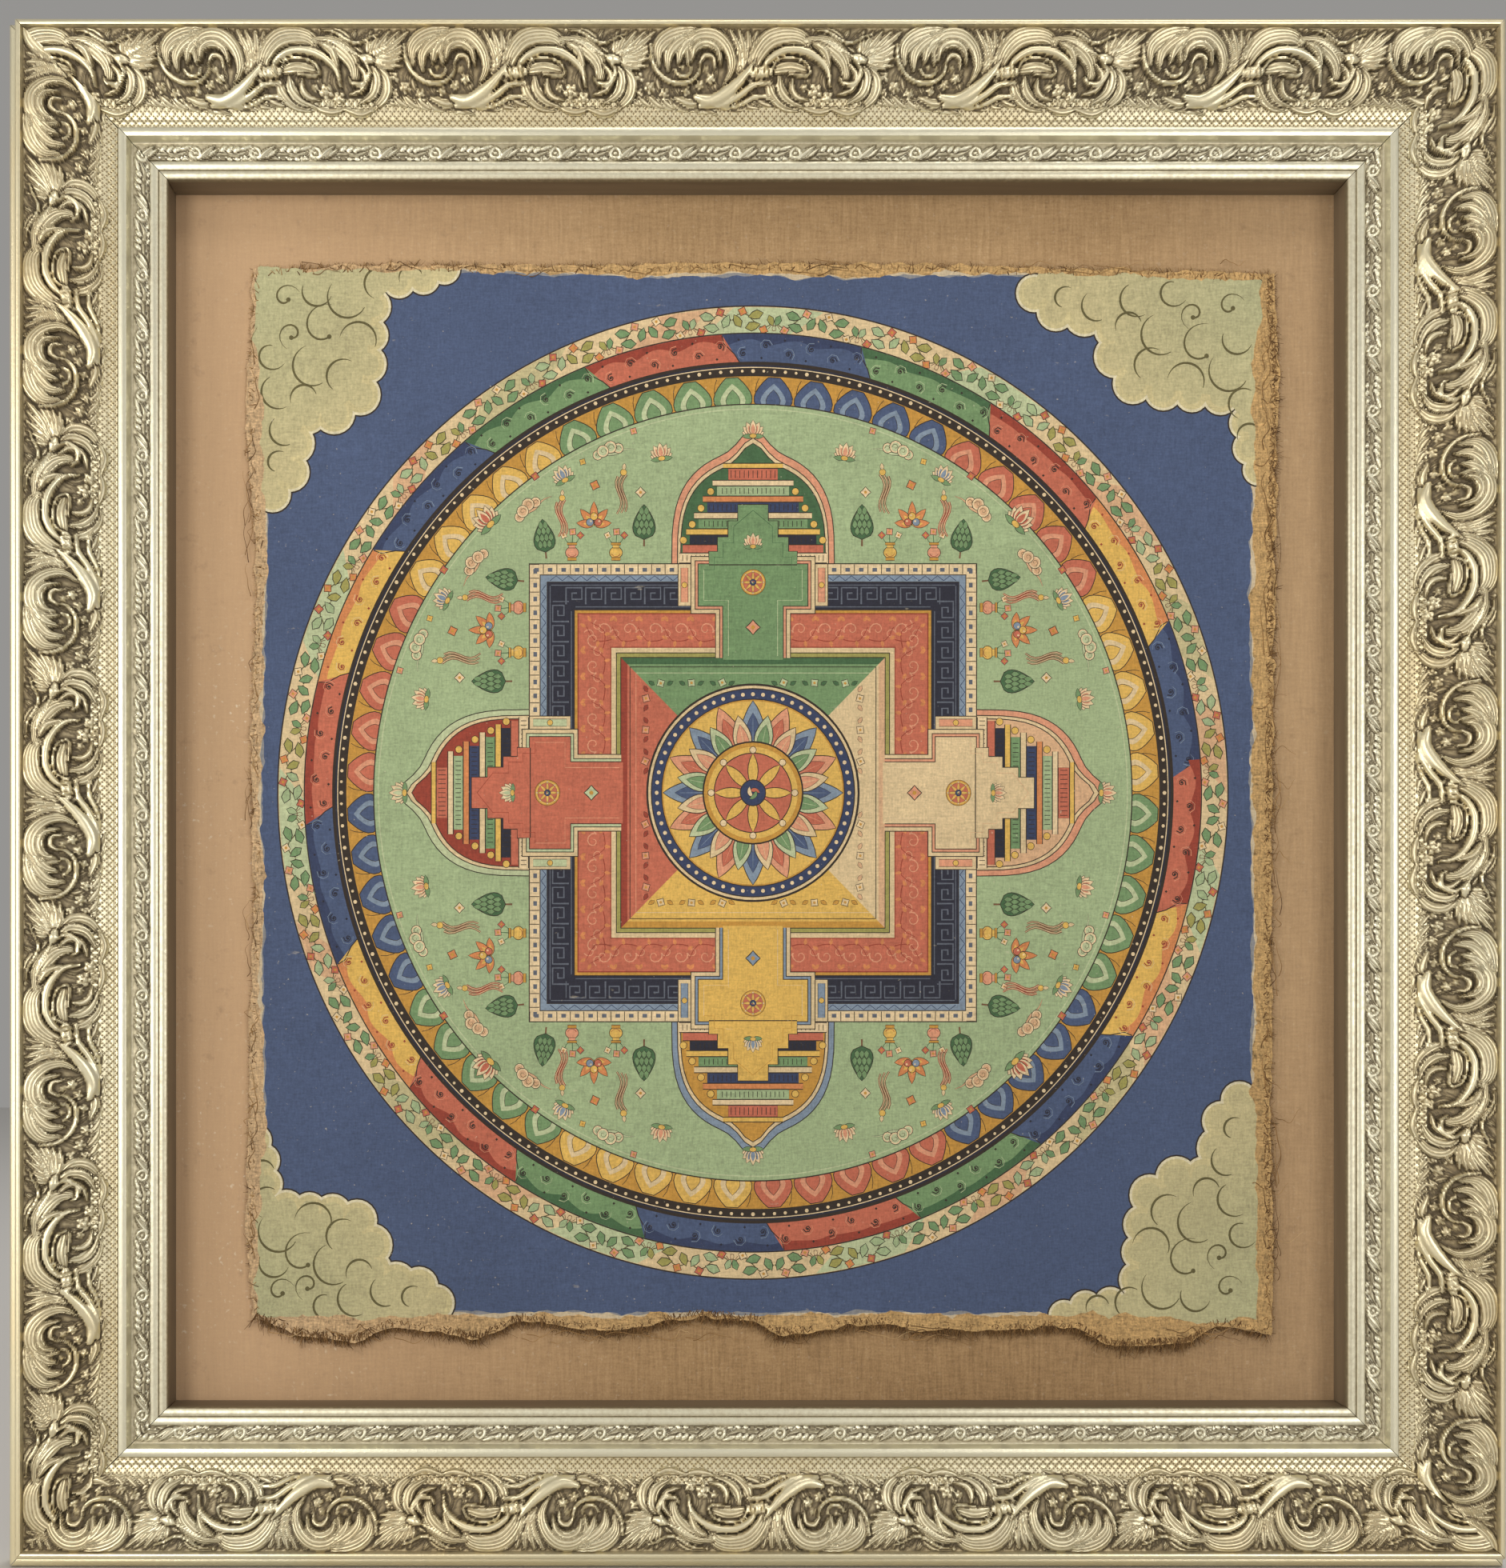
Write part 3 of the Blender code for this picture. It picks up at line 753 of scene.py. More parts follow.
def lattice_strip(side, half_length):
    """The lattice of lozenges, four steps to each. With i and j the steps along and across,
    a dark groove runs where i + j or i - j is a multiple of four, about a raised lozenge."""
    line, normal = strip_line(*LATTICE_EDGES, LATTICE_STEP)[:2]
    reach = int(half_length / MM / LATTICE_STEP)
    limit = half_length / MM - line[:, :1] - LATTICE_END
    i, j = np.meshgrid(np.arange(-reach, reach + 1), np.arange(len(line)))
    along = np.clip(i * LATTICE_STEP, -limit, limit)
    groove = ((i + j) % 4 == 0) | ((i - j) % 4 == 0)
    raised = LOZENGE_RISE - GROOVE_DEPTH * groove
    points, picks = skirted(side, along * MM, line, normal, raised)
    rows, columns = len(picks), along.shape[1]
    quads = round_quads(rows, columns)
    row, column = np.divmod(quads[:, 3], columns)
    odd = ((row + column + reach + 1) % 2 == 1)[:, None]
    quads = np.where(odd, np.roll(quads, 1, axis=1), quads)
    triangles = np.concatenate([quads[:, [0, 1, 2]], quads[:, [0, 2, 3]]])
    places = points.reshape(-1, 3)
    same = np.round(places / SAME_PLACE).astype(int)
    first, seat = np.unique(same, axis=0, return_index=True, return_inverse=True)[1:]
    triangles = first[seat.ravel()][triangles]
    triangles = triangles[(triangles != np.roll(triangles, 1, 1)).all(1)]
    once = np.unique(np.sort(triangles, 1), axis=0, return_index=True)[1]
    triangles = triangles[np.sort(once)]
    hollow = (0.76 * groove + 0.12)[picks].ravel()
    return places, triangles.ravel(), np.full(len(triangles), 3), hollow, np.zeros(len(places))


scroll_tile, leaves_tile = leaf_scroll(), small_leaves()
STRIPS = (
    # relief, outer and inner edge from the rim, cell, reach of its hollows, gloom
    (scroll_tile, 3.7, 45.6, 0.90, 2.4, 1.0),
    (leaves_tile, 57.4, 66.2, 0.66, 1.4, 0.75),
)
for side, half_length in RAILS:
    parts = [cast_strip(side, half_length, *row) for row in STRIPS]
    parts.append(lattice_strip(side, half_length))
    starts = np.cumsum([0] + [len(part[0]) for part in parts])
    points, loops, sizes, hollow, vein = (
        np.concatenate([part[k] + (start if k == 1 else 0) for part, start in zip(parts, starts)])
        for k in range(5)
    )
    ornament = mesh_piece(f"ornament_{side}", points, loops, sizes, cast_leaf, soft=60)
    carry(ornament, "hollow", hollow)
    carry(ornament, "vein", vein)
    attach(ornament, "root")

# ---------------------------------------------------------------------------
# Spacers: four square strips of wood, stained brown, between the frame's back and the mount board. They hold
# the board back from the sight edge. The top one is darkened with painted shade, as it faces down under the
# rim.
# ---------------------------------------------------------------------------

stained = Finish("stained_wood", Roughness=0.6)
grain = stained.noise(120.0, 4.0, stretch=(0.06, 1.0, 0.06))
# painted shade: the top strip, facing down under the rim, is mixed towards near-black
upper = stained.axis(2).between(0.345, 0.350)     # the top strip, which is the darkest
wood = stained.mix(grain, (0.105, 0.075, 0.045), (0.265, 0.200, 0.125))
stained.drive(
    Base_Color=stained.mix(upper * 0.55, wood, (0.030, 0.020, 0.012)), Roughness=0.45 + grain * 0.3
)
stained.bump(grain, 0.4, 0.0003)
for side in ("top", "bottom", "left", "right"):
    bpy.data.objects[f"spacer_{side}"].material_slots[0].material = stained.material

# ---------------------------------------------------------------------------
# Mount board: a stiff board faced with brown cloth of slubbed upright threads, worn and dusty, darker towards
# the foot and paler towards both sides. Low on the left its pale flecks are brightened into painted
# highlights, glints of the lamps off the weave.
# ---------------------------------------------------------------------------

facing = Finish("brown_facing", Roughness=0.86)
upright = facing.noise(620.0, 3.0, 0.6, stretch=(1.0, 1.0, 0.08))
level = facing.noise(700.0, 2.0, 0.6, stretch=(0.16, 1.0, 1.0))
broad = facing.noise(5.0, 3.0)
grit = facing.noise(800.0, 2.0)
height = facing.axis(2).between(-0.34, 0.30)
leftward = facing.axis(0).between(-0.05, -0.33)
tone = upright * 0.60 + level * 0.36 + broad * 0.34 + grit * 0.40 + height * 0.20 - 0.44
colour = facing.ramp(
    tone,
    (
        (0.10, (0.160, 0.092, 0.038)),
        (0.40, (0.300, 0.186, 0.086)),
        (0.70, (0.430, 0.282, 0.142)),
        (1.00, (0.590, 0.430, 0.250)),
    ),
)
colour = facing.mix(leftward * 0.80, colour, (0.560, 0.375, 0.225))
rightward = facing.axis(0).between(0.20, 0.33)
colour = facing.mix(rightward * 0.45, colour, (0.520, 0.360, 0.215))
# pale flecks: a few dust flecks all over, and many more low on the left (strip) as painted highlights, glints
# of the lamps off the weave
dust_and_glint_fleck = facing.noise(340.0, 2.0).between(0.62, 0.72)
strip = leftward * facing.axis(2).between(0.20, 0.05) * facing.noise(14.0, 2.0).between(0.42, 0.60)
colour = facing.mix((dust_and_glint_fleck * (0.16 + strip * 0.75)).clamped(), colour, (0.66, 0.56, 0.42))
shade = facing.noise(90.0, 4.0, 0.7).between(0.60, 0.74)
colour = facing.mix(shade * 0.22, colour, (0.10, 0.055, 0.030))
facing.drive(Base_Color=colour, Roughness=0.8 + upright * 0.15)
facing.bump(upright * 0.6 + level * 0.2 + grit * 0.2, 0.6, 0.0004)
bpy.data.objects["mount_board"].material_slots[0].material = facing.material

# ---------------------------------------------------------------------------
# Thangka cloth: a piece of plain-woven cotton torn from a wider cloth, sized, and
# painted within a bare margin. The margin's edges are torn and frayed. It is laid
# on the mount board, with nothing over it.
# ---------------------------------------------------------------------------

CLOTH_LEFT, CLOTH_RIGHT = -284.3, 290.5
CLOTH_BOTTOM, CLOTH_TOP = -300.5, 299.5
CLOTH_WIDE, CLOTH_TALL = CLOTH_RIGHT - CLOTH_LEFT, CLOTH_TOP - CLOTH_BOTTOM
CLOTH_THICKNESS = 1.2
WAVE_HEIGHT = 0.7
EDGE_REACH = 30.0        # how far in from a torn edge its lift is felt
EDGE_ROWS = {
    # along: share of the side from its left or lower end; out: past the nominal line; lift: off the board
    "bottom": (
        (0.00, -7.0, 0.4), (0.06, 3.0, 1.2), (0.10, 5.5, 1.8), (0.14, -2.5, 1.4), (0.18, 0.0, 2.2),
        (0.22, 3.5, 2.4), (0.27, -6.0, 1.2), (0.32, -2.0, 1.8), (0.36, -0.5, 2.6), (0.44, -8.0, 1.2),
        (0.49, -6.0, 1.6), (0.52, 1.5, 2.8), (0.61, -4.0, 1.6), (0.66, -1.0, 2.2), (0.75, -1.0, 1.8),
        (0.80, -2.0, 1.6), (0.85, 8.0, 3.0), (0.91, 7.0, 2.8), (0.95, -3.5, 1.6), (1.00, 1.0, 2.2),
    ),
    "top": (
        (0.00, -2.0, 0.3), (0.12, 0.5, 0.6), (0.30, -0.5, 0.3), (0.45, 0.5, 0.4),
        (0.60, 0.5, 0.6), (0.75, -1.5, 0.4), (0.88, -3.0, 0.7), (1.00, -5.0, 0.8),
    ),
    "left": (
        (0.00, -1.5, 0.4), (0.10, 1.5, 0.8), (0.25, 0.0, 0.5), (0.42, -2.0, 0.4),
        (0.55, -0.5, 0.5), (0.72, -3.5, 0.4), (0.84, 1.5, 0.8), (1.00, -1.0, 0.3),
    ),
    "right": (
        (0.00, -1.5, 2.2), (0.08, 0.5, 1.6), (0.20, -0.5, 1.0), (0.38, -0.5, 1.4),
        (0.55, 0.5, 1.0), (0.72, 1.5, 1.5), (0.90, 3.5, 1.2), (1.00, 1.0, 0.8),
    ),
}


def edge_values(side, column, along):
    """A column of a torn edge's table, eased between its rows by 3 f^2 - 2 f^3."""
    rows = np.array(EDGE_ROWS[side])
    along = np.clip(along, 0, 1)
    after = np.clip(np.searchsorted(rows[:, 0], along), 1, len(rows) - 1)
    share = (along - rows[after - 1, 0]) / (rows[after, 0] - rows[after - 1, 0])
    share = share * share * (3 - 2 * share)
    return rows[after - 1, column] * (1 - share) + rows[after, column] * share


def cloth_place(across, up):
    """Millimetres right and up at shares of the width and height: each torn edge moves
    the cloth near it, by an amount that fades over a tenth of the way in."""
    right = CLOTH_LEFT + CLOTH_WIDE * across
    high = CLOTH_BOTTOM + CLOTH_TALL * up
    right = right + np.clip(10 * across - 9, 0, 1) * edge_values("right", 1, up)
    right = right - np.clip(1 - 10 * across, 0, 1) * edge_values("left", 1, up)
    high = high + np.clip(10 * up - 9, 0, 1) * edge_values("top", 1, across)
    high = high - np.clip(1 - 10 * up, 0, 1) * edge_values("bottom", 1, across)
    return np.stack([right, high], -1)


def cloth_lift(places):
    """Millimetres off the board: two crossed waves, and torn edges that curl up as the
    square of the nearness."""
    across = np.clip((places[:, 0] - CLOTH_LEFT) / CLOTH_WIDE, 0, 1)
    up = np.clip((places[:, 1] - CLOTH_BOTTOM) / CLOTH_TALL, 0, 1)
    wave = np.sin(5.1 * across + 1.3 * up + 0.4) * np.sin(4.3 * up - 1.1 * across + 0.9)
    lift = WAVE_HEIGHT * (1 + wave)
    for side, distance, along in (
        ("left", across * CLOTH_WIDE, up),
        ("right", (1 - across) * CLOTH_WIDE, up),
        ("bottom", up * CLOTH_TALL, across),
        ("top", (1 - up) * CLOTH_TALL, across),
    ):
        near = np.clip(1 - distance / EDGE_REACH, 0, 1)
        lift = lift + edge_values(side, 2, along) * near * near
    return lift


PIGMENTS = {
    # name: the dry colour, red, green and blue of 255
    "raw": (175, 143, 95),
    "priming": (190, 174, 146),
    "worn_ground": (130, 131, 134),
    "ink": (50, 42, 36),
    "ground": (71, 85, 116),
    "deep_blue": (52, 62, 92),
    "pale_blue": (122, 138, 156),
    "night": (40, 41, 54),
    "slate": (90, 96, 108),
    "cloud": (183, 173, 132),
    "cloud_cream": (190, 179, 135),
    "cloud_rim": (206, 198, 168),
    "cloud_shade": (169, 168, 130),
    "cloud_line": (92, 86, 54),
    "sage": (152, 170, 130),
    "pale_sage": (176, 186, 148),
    "leaf": (110, 140, 98),
    "deep_leaf": (66, 98, 66),
    "olive": (150, 146, 82),
    "red": (182, 102, 80),
    "deep_red": (142, 62, 48),
    "pink": (204, 144, 114),
    "orange": (198, 128, 80),
    "yellow": (208, 170, 88),
    "ochre": (184, 138, 62),
    "cream": (206, 184, 144),
    "blush": (202, 164, 128),
    "white": (214, 192, 154),
    "brown": (112, 80, 58),
}


def runs_left(points):
    """Whether a closed outline turns anticlockwise, from the sign of its area."""
    ahead = np.roll(points, -1, 0)
    return (points[:, 0] * ahead[:, 1] - ahead[:, 0] * points[:, 1]).sum() > 0


def grown(points, by):
    """A closed outline moved outward by an equal step along its normals."""
    tangent = np.roll(points, -1, 0) - np.roll(points, 1, 0)
    normal = np.stack([tangent[:, 1], -tangent[:, 0]], 1)
    normal /= np.maximum(np.linalg.norm(normal, axis=1, keepdims=True), 1e-9)
    return points + normal * (by if runs_left(points) else -by)


def rays(angle):
    """Unit steps at angles, in radians from the right."""
    return np.stack([np.cos(angle), np.sin(angle)], -1)


def ray(degrees):
    """The unit step at one angle."""
    return np.array([math.cos(math.radians(degrees)), math.sin(math.radians(degrees))])


def spin(degrees):
    """The matrix that turns rows of points anticlockwise; its transpose turns them back."""
    cosine, sine = ray(degrees)
    return np.array([[cosine, sine], [-sine, cosine]])


def disc(radius, count=None):
    """A round outline, with a corner every 6 mm or so."""
    count = count or max(8, int(radius * 1.1))
    return radius * rays(np.linspace(0, 2 * math.pi, count, endpoint=False))


def block(left, bottom, right, top):
    """An upright rectangle."""
    return np.array([(left, bottom), (right, bottom), (right, top), (left, top)], float)


def petal(length, width, count=7, point=0.75, waist=0.0):
    """A leaf shape upward from the middle: half width is the sine of the share of its
    length, raised to point, so that it comes to a tip; waist narrows its foot."""
    share = np.linspace(0, 1, count)
    side = width / 2 * np.sin(math.pi * share**point) ** 0.85 * (1 - waist * (1 - share) ** 2)
    up = length * share
    return np.concatenate([np.stack([side, up], 1), np.stack([-side, up], 1)[-2:0:-1]])


def coil(radius, start, end, count=14, shrink=0.18):
    """A line that winds in: its radius falls by equal shares to shrink of itself."""
    share = np.linspace(0, 1, count)
    angle = np.radians(start + (end - start) * share)
    return (radius * shrink**share)[:, None] * rays(angle)


def wedge(inner, outer, start, end, lean=0.0):
    """A piece of a ring, in degrees; lean turns its inner edge on."""
    count = max(2, int(abs(end - start) * outer / 380))
    angle = np.radians(np.linspace(start, end, count))
    return np.concatenate([outer * rays(angle), (inner * rays(angle + math.radians(lean)))[::-1]])


class Painting:
    """Flat shapes laid one over another, in millimetres about the middle of the round.

    The round is a little taller than wide, and stands a little off the cloth's middle.
    """

    def __init__(self):
        self.shapes, self.pigments = [], []
        self.frame = np.array([[0.989, 0, -1.2], [0, 1.0126, 2.5], [0, 0, 1]])

    def fill(self, points, pigment):
        """A filled shape."""
        points = np.asarray(points, float) @ self.frame[:2, :2].T + self.frame[:2, 2]
        self.shapes.append(points if runs_left(points) else points[::-1])
        self.pigments.append(pigment)

    def shape(self, points, pigment, width=0.5, edge="ink"):
        """A filled shape with a drawn edge about it."""
        self.fill(grown(np.asarray(points, float), width), edge)
        self.fill(points, pigment)

    def line(self, points, width=0.5, pigment="ink", tail=0.4, swell=0.0):
        """A brushed line: as wide as said at its start, and tail of that at its end, with
        swell of it more in the middle, as a sine."""
        points = np.asarray(points, float)
        run = np.gradient(points, axis=0)
        side = np.stack([run[:, 1], -run[:, 0]], 1) / np.linalg.norm(run, axis=1, keepdims=True)
        share = np.linspace(0, 1, len(points))
        side *= (width / 2 * (1 + (tail - 1) * share + swell * np.sin(math.pi * share)))[:, None]
        self.fill(np.concatenate([points + side, (points - side)[::-1]]), pigment)

    def stamp(self, motif, across, up, turn=0.0, size=1.0, mirrored=False, **colours):
        """Draws a motif about a place of its own."""
        before = self.frame
        cosine, sine = size * ray(turn)
        local = np.array([[cosine, -sine, across], [sine, cosine, up], [0, 0, 1]])
        self.frame = before @ local @ np.diag([-1.0 if mirrored else 1.0, 1, 1])
        motif(self, **colours)
        self.frame = before


def curl(p, dark, light):
    """A flame curl 5 mm across: a comma with a dot in it and a thin line that follows it."""
    p.line(coil(2.3, -150, 250, 8, 0.3), 0.6, dark, 0.9)
    p.fill(disc(0.75, 5) + (0.2, -0.2), dark)
    p.line(coil(3.3, -140, 60, 5, 0.85), 0.32, light, 0.5)


def sprig(p, pigment, flower):
    """A piece of vine 17 mm long: a wave of stem, four leaves, two buds and a tendril."""
    share = np.linspace(-8.5, 8.5, 9)
    p.line(np.stack([share, 3.0 * np.sin(share * math.pi / 8.5)], 1), 0.45, "cloud_line", 1.0)
    for across, up, turn, length in (
        (-5, 2.6, 150, 5.5), (-3, 3, -105, 6.0), (4, -3, 75, 6.0), (6.5, -2, -20, 4.5)
    ):
        p.stamp(leaf_blade, across, up, turn, length / 8, pigment=pigment)
    p.stamp(bud, -4.3, -3.6, 20, 0.46, pigment=flower)
    p.stamp(bud, 4.2, 3.7, 200, 0.46, pigment=flower)
    p.line(coil(2.0, 180, 510, 7, 0.35) + (8.2, 3.4), 0.3, "brown", 0.5)


def leaf_blade(p, pigment="leaf"):
    """One leaf, 8 mm long."""
    p.shape(petal(8, 4.4, 4), pigment, 0.5)


def bud(p, pigment="pink"):
    """A flower 8 mm across, of four petals and a yellow middle."""
    angle = np.linspace(0, 2 * math.pi, 12, endpoint=False)
    swell = 3.2 + 0.9 * np.cos(4 * angle)
    p.shape(swell[:, None] * rays(angle), pigment, 0.6)
    p.fill(disc(1.4, 5), "ochre")


def lotus(p, pigment="pink", tip="white", foot="leaf"):
    """A lotus seen from the side, 18 mm wide, on a flat leaf."""
    for turn, length in ((74, 9), (-74, 9), (50, 10.5), (-50, 10.5), (27, 11.5), (-27, 11.5), (0, 12)):
        spread = petal(length, 5.4, 5, 0.8)
        p.shape(spread @ spin(turn).T, tip, 0.42)
        p.fill((spread * (0.66, 0.70) + (0, 0.6)) @ spin(turn).T, pigment)
    for side in (-1, 1):
        p.shape(petal(8.5, 3.6, 6) @ np.array([[0, -side], [side, 0.0]]) + (0, -0.6), foot, 0.4)
    p.shape(disc(1.7, 8) * (1.6, 1.0) + (0, -0.2), "yellow", 0.35)


def wisp(p, pigment="pale_sage", rim="white"):
    """A cloud 26 mm long: four curled heads and a tail."""
    tail = eased([(-17, -3.2), (-11, -1.6), (-4, -2.8), (2, -1.5)], 9)
    p.line(tail[::-1], 2.6, "ink", 0.15)
    p.line(tail[::-1], 1.9, pigment, 0.1)
    for across, up, radius in ((-6.5, 0.2, 3.2), (7.8, -0.8, 3.1), (-1.6, 2.2, 3.9), (3.9, 0.8, 3.8)):
        p.shape(disc(radius, 10) + (across, up), rim, 0.42)
        p.fill(disc(radius * 0.76, 8) + (across, up), pigment)
        p.line(coil(radius * 0.66, 200, -130, 7, 0.28) + (across, up), 0.42, "cloud_line", 0.6)


def shrub(p, pigment="leaf", shade="deep_leaf"):
    """A clipped bush 11 mm wide and 20 tall, leaf over leaf."""
    p.line([(0, -4), (0, 1)], 1.1, "brown", 0.8)
    p.shape(petal(19, 12.5, 10, 0.62), shade, 0.45)
    for row, count in ((2.2, 3), (6.0, 4), (10.0, 3), (13.4, 2)):
        for k in range(count):
            across = (k - (count - 1) / 2) * 2.7
            p.shape(petal(4.6, 2.7, 4) + (across, row), pigment, 0.28)


def jewel(p, first="red", second="pale_blue", third="yellow"):
    """Three drops in a ring of flame, 13 mm tall."""
    for k, length in enumerate((11.5, 13.5, 15.0, 13.5, 11.5)):
        turned = spin(42 * (k - 2)).T
        p.shape(petal(length, 5, 7, 0.85) @ turned, "orange", 0.38)
        p.fill(petal(length * 0.62, 2.8, 5, 0.85) @ turned, "yellow")
    for across, up, pigment in ((-2.7, 1.6, first), (2.7, 1.6, second), (0, 5.4, third)):
        p.shape(disc(2.3, 10) + (across, up), pigment, 0.4)
        p.fill(disc(0.7, 6) + (across - 0.7, up + 0.7), "white")


def vase(p, pigment="yellow"):
    """A round pot with three blooms, 12 mm wide."""
    p.line([(0, 4), (-0.5, 11)], 0.6, "deep_leaf", 0.7)
    for side in (-1, 1):
        p.line([(0, 4), (side * 3.5, 7), (side * 5, 10)], 0.5, "deep_leaf", 0.7)
    p.shape(disc(3.9, 14) * (1.0, 0.86), pigment, 0.42)
    p.shape(block(-2.0, 3.0, 2.0, 5.0), pigment, 0.4)
    p.shape(block(-3.0, 4.8, 3.0, 5.9), "ochre", 0.35)
    p.shape(block(-2.7, -4.6, 2.7, -3.0), "ochre", 0.35)
    p.line(3.0 * disc(1, 14)[8:14] + (0, 0.6), 0.4, "deep_red", 0.6)
    p.stamp(bud, -5.2, 10.5, 0, 0.55, pigment="red")
    p.stamp(bud, 5.2, 10.5, 20, 0.55, pigment="white")
    p.stamp(bud, -0.4, 12.6, 40, 0.62, pigment="pink")


def streamer(p, pigment="brown", light="cream"):
    """A waving ribbon 26 mm long in three folds."""
    share = np.linspace(0, 1, 8)
    for k in range(3):
        wave = np.stack([2.7 * np.sin(5.5 * share + 0.35 * k) + 2.1 * k, -26 * share - k], 1)
        p.line(wave, 1.9, pigment, 0.75)
        p.line(wave, 0.55, light, 0.7)
    p.shape(disc(2.2, 9) + (2.2, 1.2), "yellow", 0.35)
    p.shape(petal(4.5, 2.6, 5) + (2.2, 3.0), "cream", 0.3)


def smoothed(noise, reach):
    """A list's sum over a short reach each way round it, so that neighbours wander together,
    over reach + 0.5."""
    return sum(np.roll(noise, k, 0) for k in range(-reach, reach + 1)) / (reach + 0.5)


FIELD_SPACING = 2.8


def paint_ground(p):
    """The painted field on the cloth, and a scalloped cloud in each corner."""
    FIELD = (
        # corners about the middle of the round: across, up
        (-281.5, 291.5), (-150.0, 289.0), (-40.0, 286.8), (95.0, 286.9), (200.0, 286.5), (286.5, 284.5),
        (283.5, 215.0), (283.4, 134.0), (283.2, -20.0), (284.3, -164.0), (285.5, -290.5),
        (95.0, -288.9), (-75.0, -287.6), (-160.0, -288.5), (-281.5, -289.5),
        (-277.8, -164.0), (-279.4, -20.0), (-277.1, 134.0), (-279.0, 215.0),
    )
    COATS = (
        # size, share of the slow drift, roughness, pigment
        (1.0040, 0.80, 0.75, "priming"), (1.0012, 0.60, 0.45, "worn_ground"), (0.9990, 0.45, 0.50, "ground"),
    )
    edge = np.concatenate(
        [
            np.linspace(start, end, round(math.dist(start, end) / FIELD_SPACING), endpoint=False)
            for start, end in zip(FIELD, FIELD[1:] + FIELD[:1])
        ]
    )
    ragged = np.random.default_rng(7)
    slow = smoothed(ragged.normal(0, 2.0, edge.shape), 6)
    for scale, drift, rough, pigment in COATS:
        p.fill(edge * scale + slow * drift + smoothed(ragged.normal(0, rough, edge.shape), 1), pigment)
    SCALLOPS = (
        # in from the corner along and down, radius
        (105, -2, 9), (93, 3, 9.5), (79, 5, 9.5), (64, 19, 10.5), (63, 35, 10), (61, 51, 11), (57, 68, 11.5),
        (42, 78, 12), (27, 79, 11), (19, 95, 12), (17, 111, 11), (7, 123, 10.5),
    )
    INSIDE = (
        # the cloud within its scallops: in from the corner along and down
        (-6, -6), (110, -6), (92, 2), (79, 5), (64, 17), (62, 35), (60, 51), (56, 67), (42, 77),
        (27, 79), (19, 95), (16, 110), (4, 124), (-6, 120),
    )
    LINES = (
        # in from the corner along and down, radius, start and end in degrees, how far it winds in
        (86, 3, 7, 200, 20, 0.9), (68, 6, 9, 250, 60, 0.9), (50, 14, 12, 140, 330, 0.9),
        (56, 38, 11, 170, -20, 0.9), (36, 30, 13, 70, 300, 0.5), (18, 34, 9, 250, -100, 0.25),
        (30, 52, 12, 110, 300, 0.9), (10, 66, 10, 300, 120, 0.9), (47, 58, 10, 60, 230, 0.9),
        (14, 88, 9, 130, 290, 0.9), (14, 14, 9, 20, 330, 0.25), (32, 10, 9, 340, 160, 0.9),
        (6, 46, 9, 330, 80, 0.6), (25, 70, 8, 200, 20, 0.9), (10, 106, 7, 60, 250, 0.7),
    )
    CORNERS = (
        # middle of the corner, sign along and down, size along and down, swapped
        (-280.5, 289.5, 1, -1, 1.0, 1.0, False), (285.5, 284.5, -1, -1, 1.02, 1.0, True),
        (-281.0, -290.0, 1, 1, 0.82, 0.92, True), (284.0, -289.0, -1, 1, 1.02, 0.96, False),
    )
    for across, up, along, down, wide, tall, swapped in CORNERS:
        def seat(s, t):
            s, t = (t, s) if swapped else (s, t)
            return np.array([across + along * wide * s, up + down * tall * t])

        for pigment, grow in (("ink", 0.9), ("cloud_rim", 0.0), ("cloud_cream", -1.4), ("cloud", -4.6)):
            for s, t, radius in SCALLOPS:
                p.fill(seat(s, t) + disc(radius + grow, 24), pigment)
        p.fill(np.array([seat(s, t) for s, t in INSIDE]), "cloud")
        for s, t, radius, start, end, wind in LINES:
            wound = seat(s, t) + coil(radius, start, end, 17, wind)
            if wind < 0.6:
                p.line(wound[::-1], 0.95, "cloud_line", 0.2, 0.6)
                p.fill(disc(1.35, 10) + wound[-1], "cloud_line")
            else:
                p.line(wound[::-1], 0.40, "cloud_line", 0.5, 2.6)


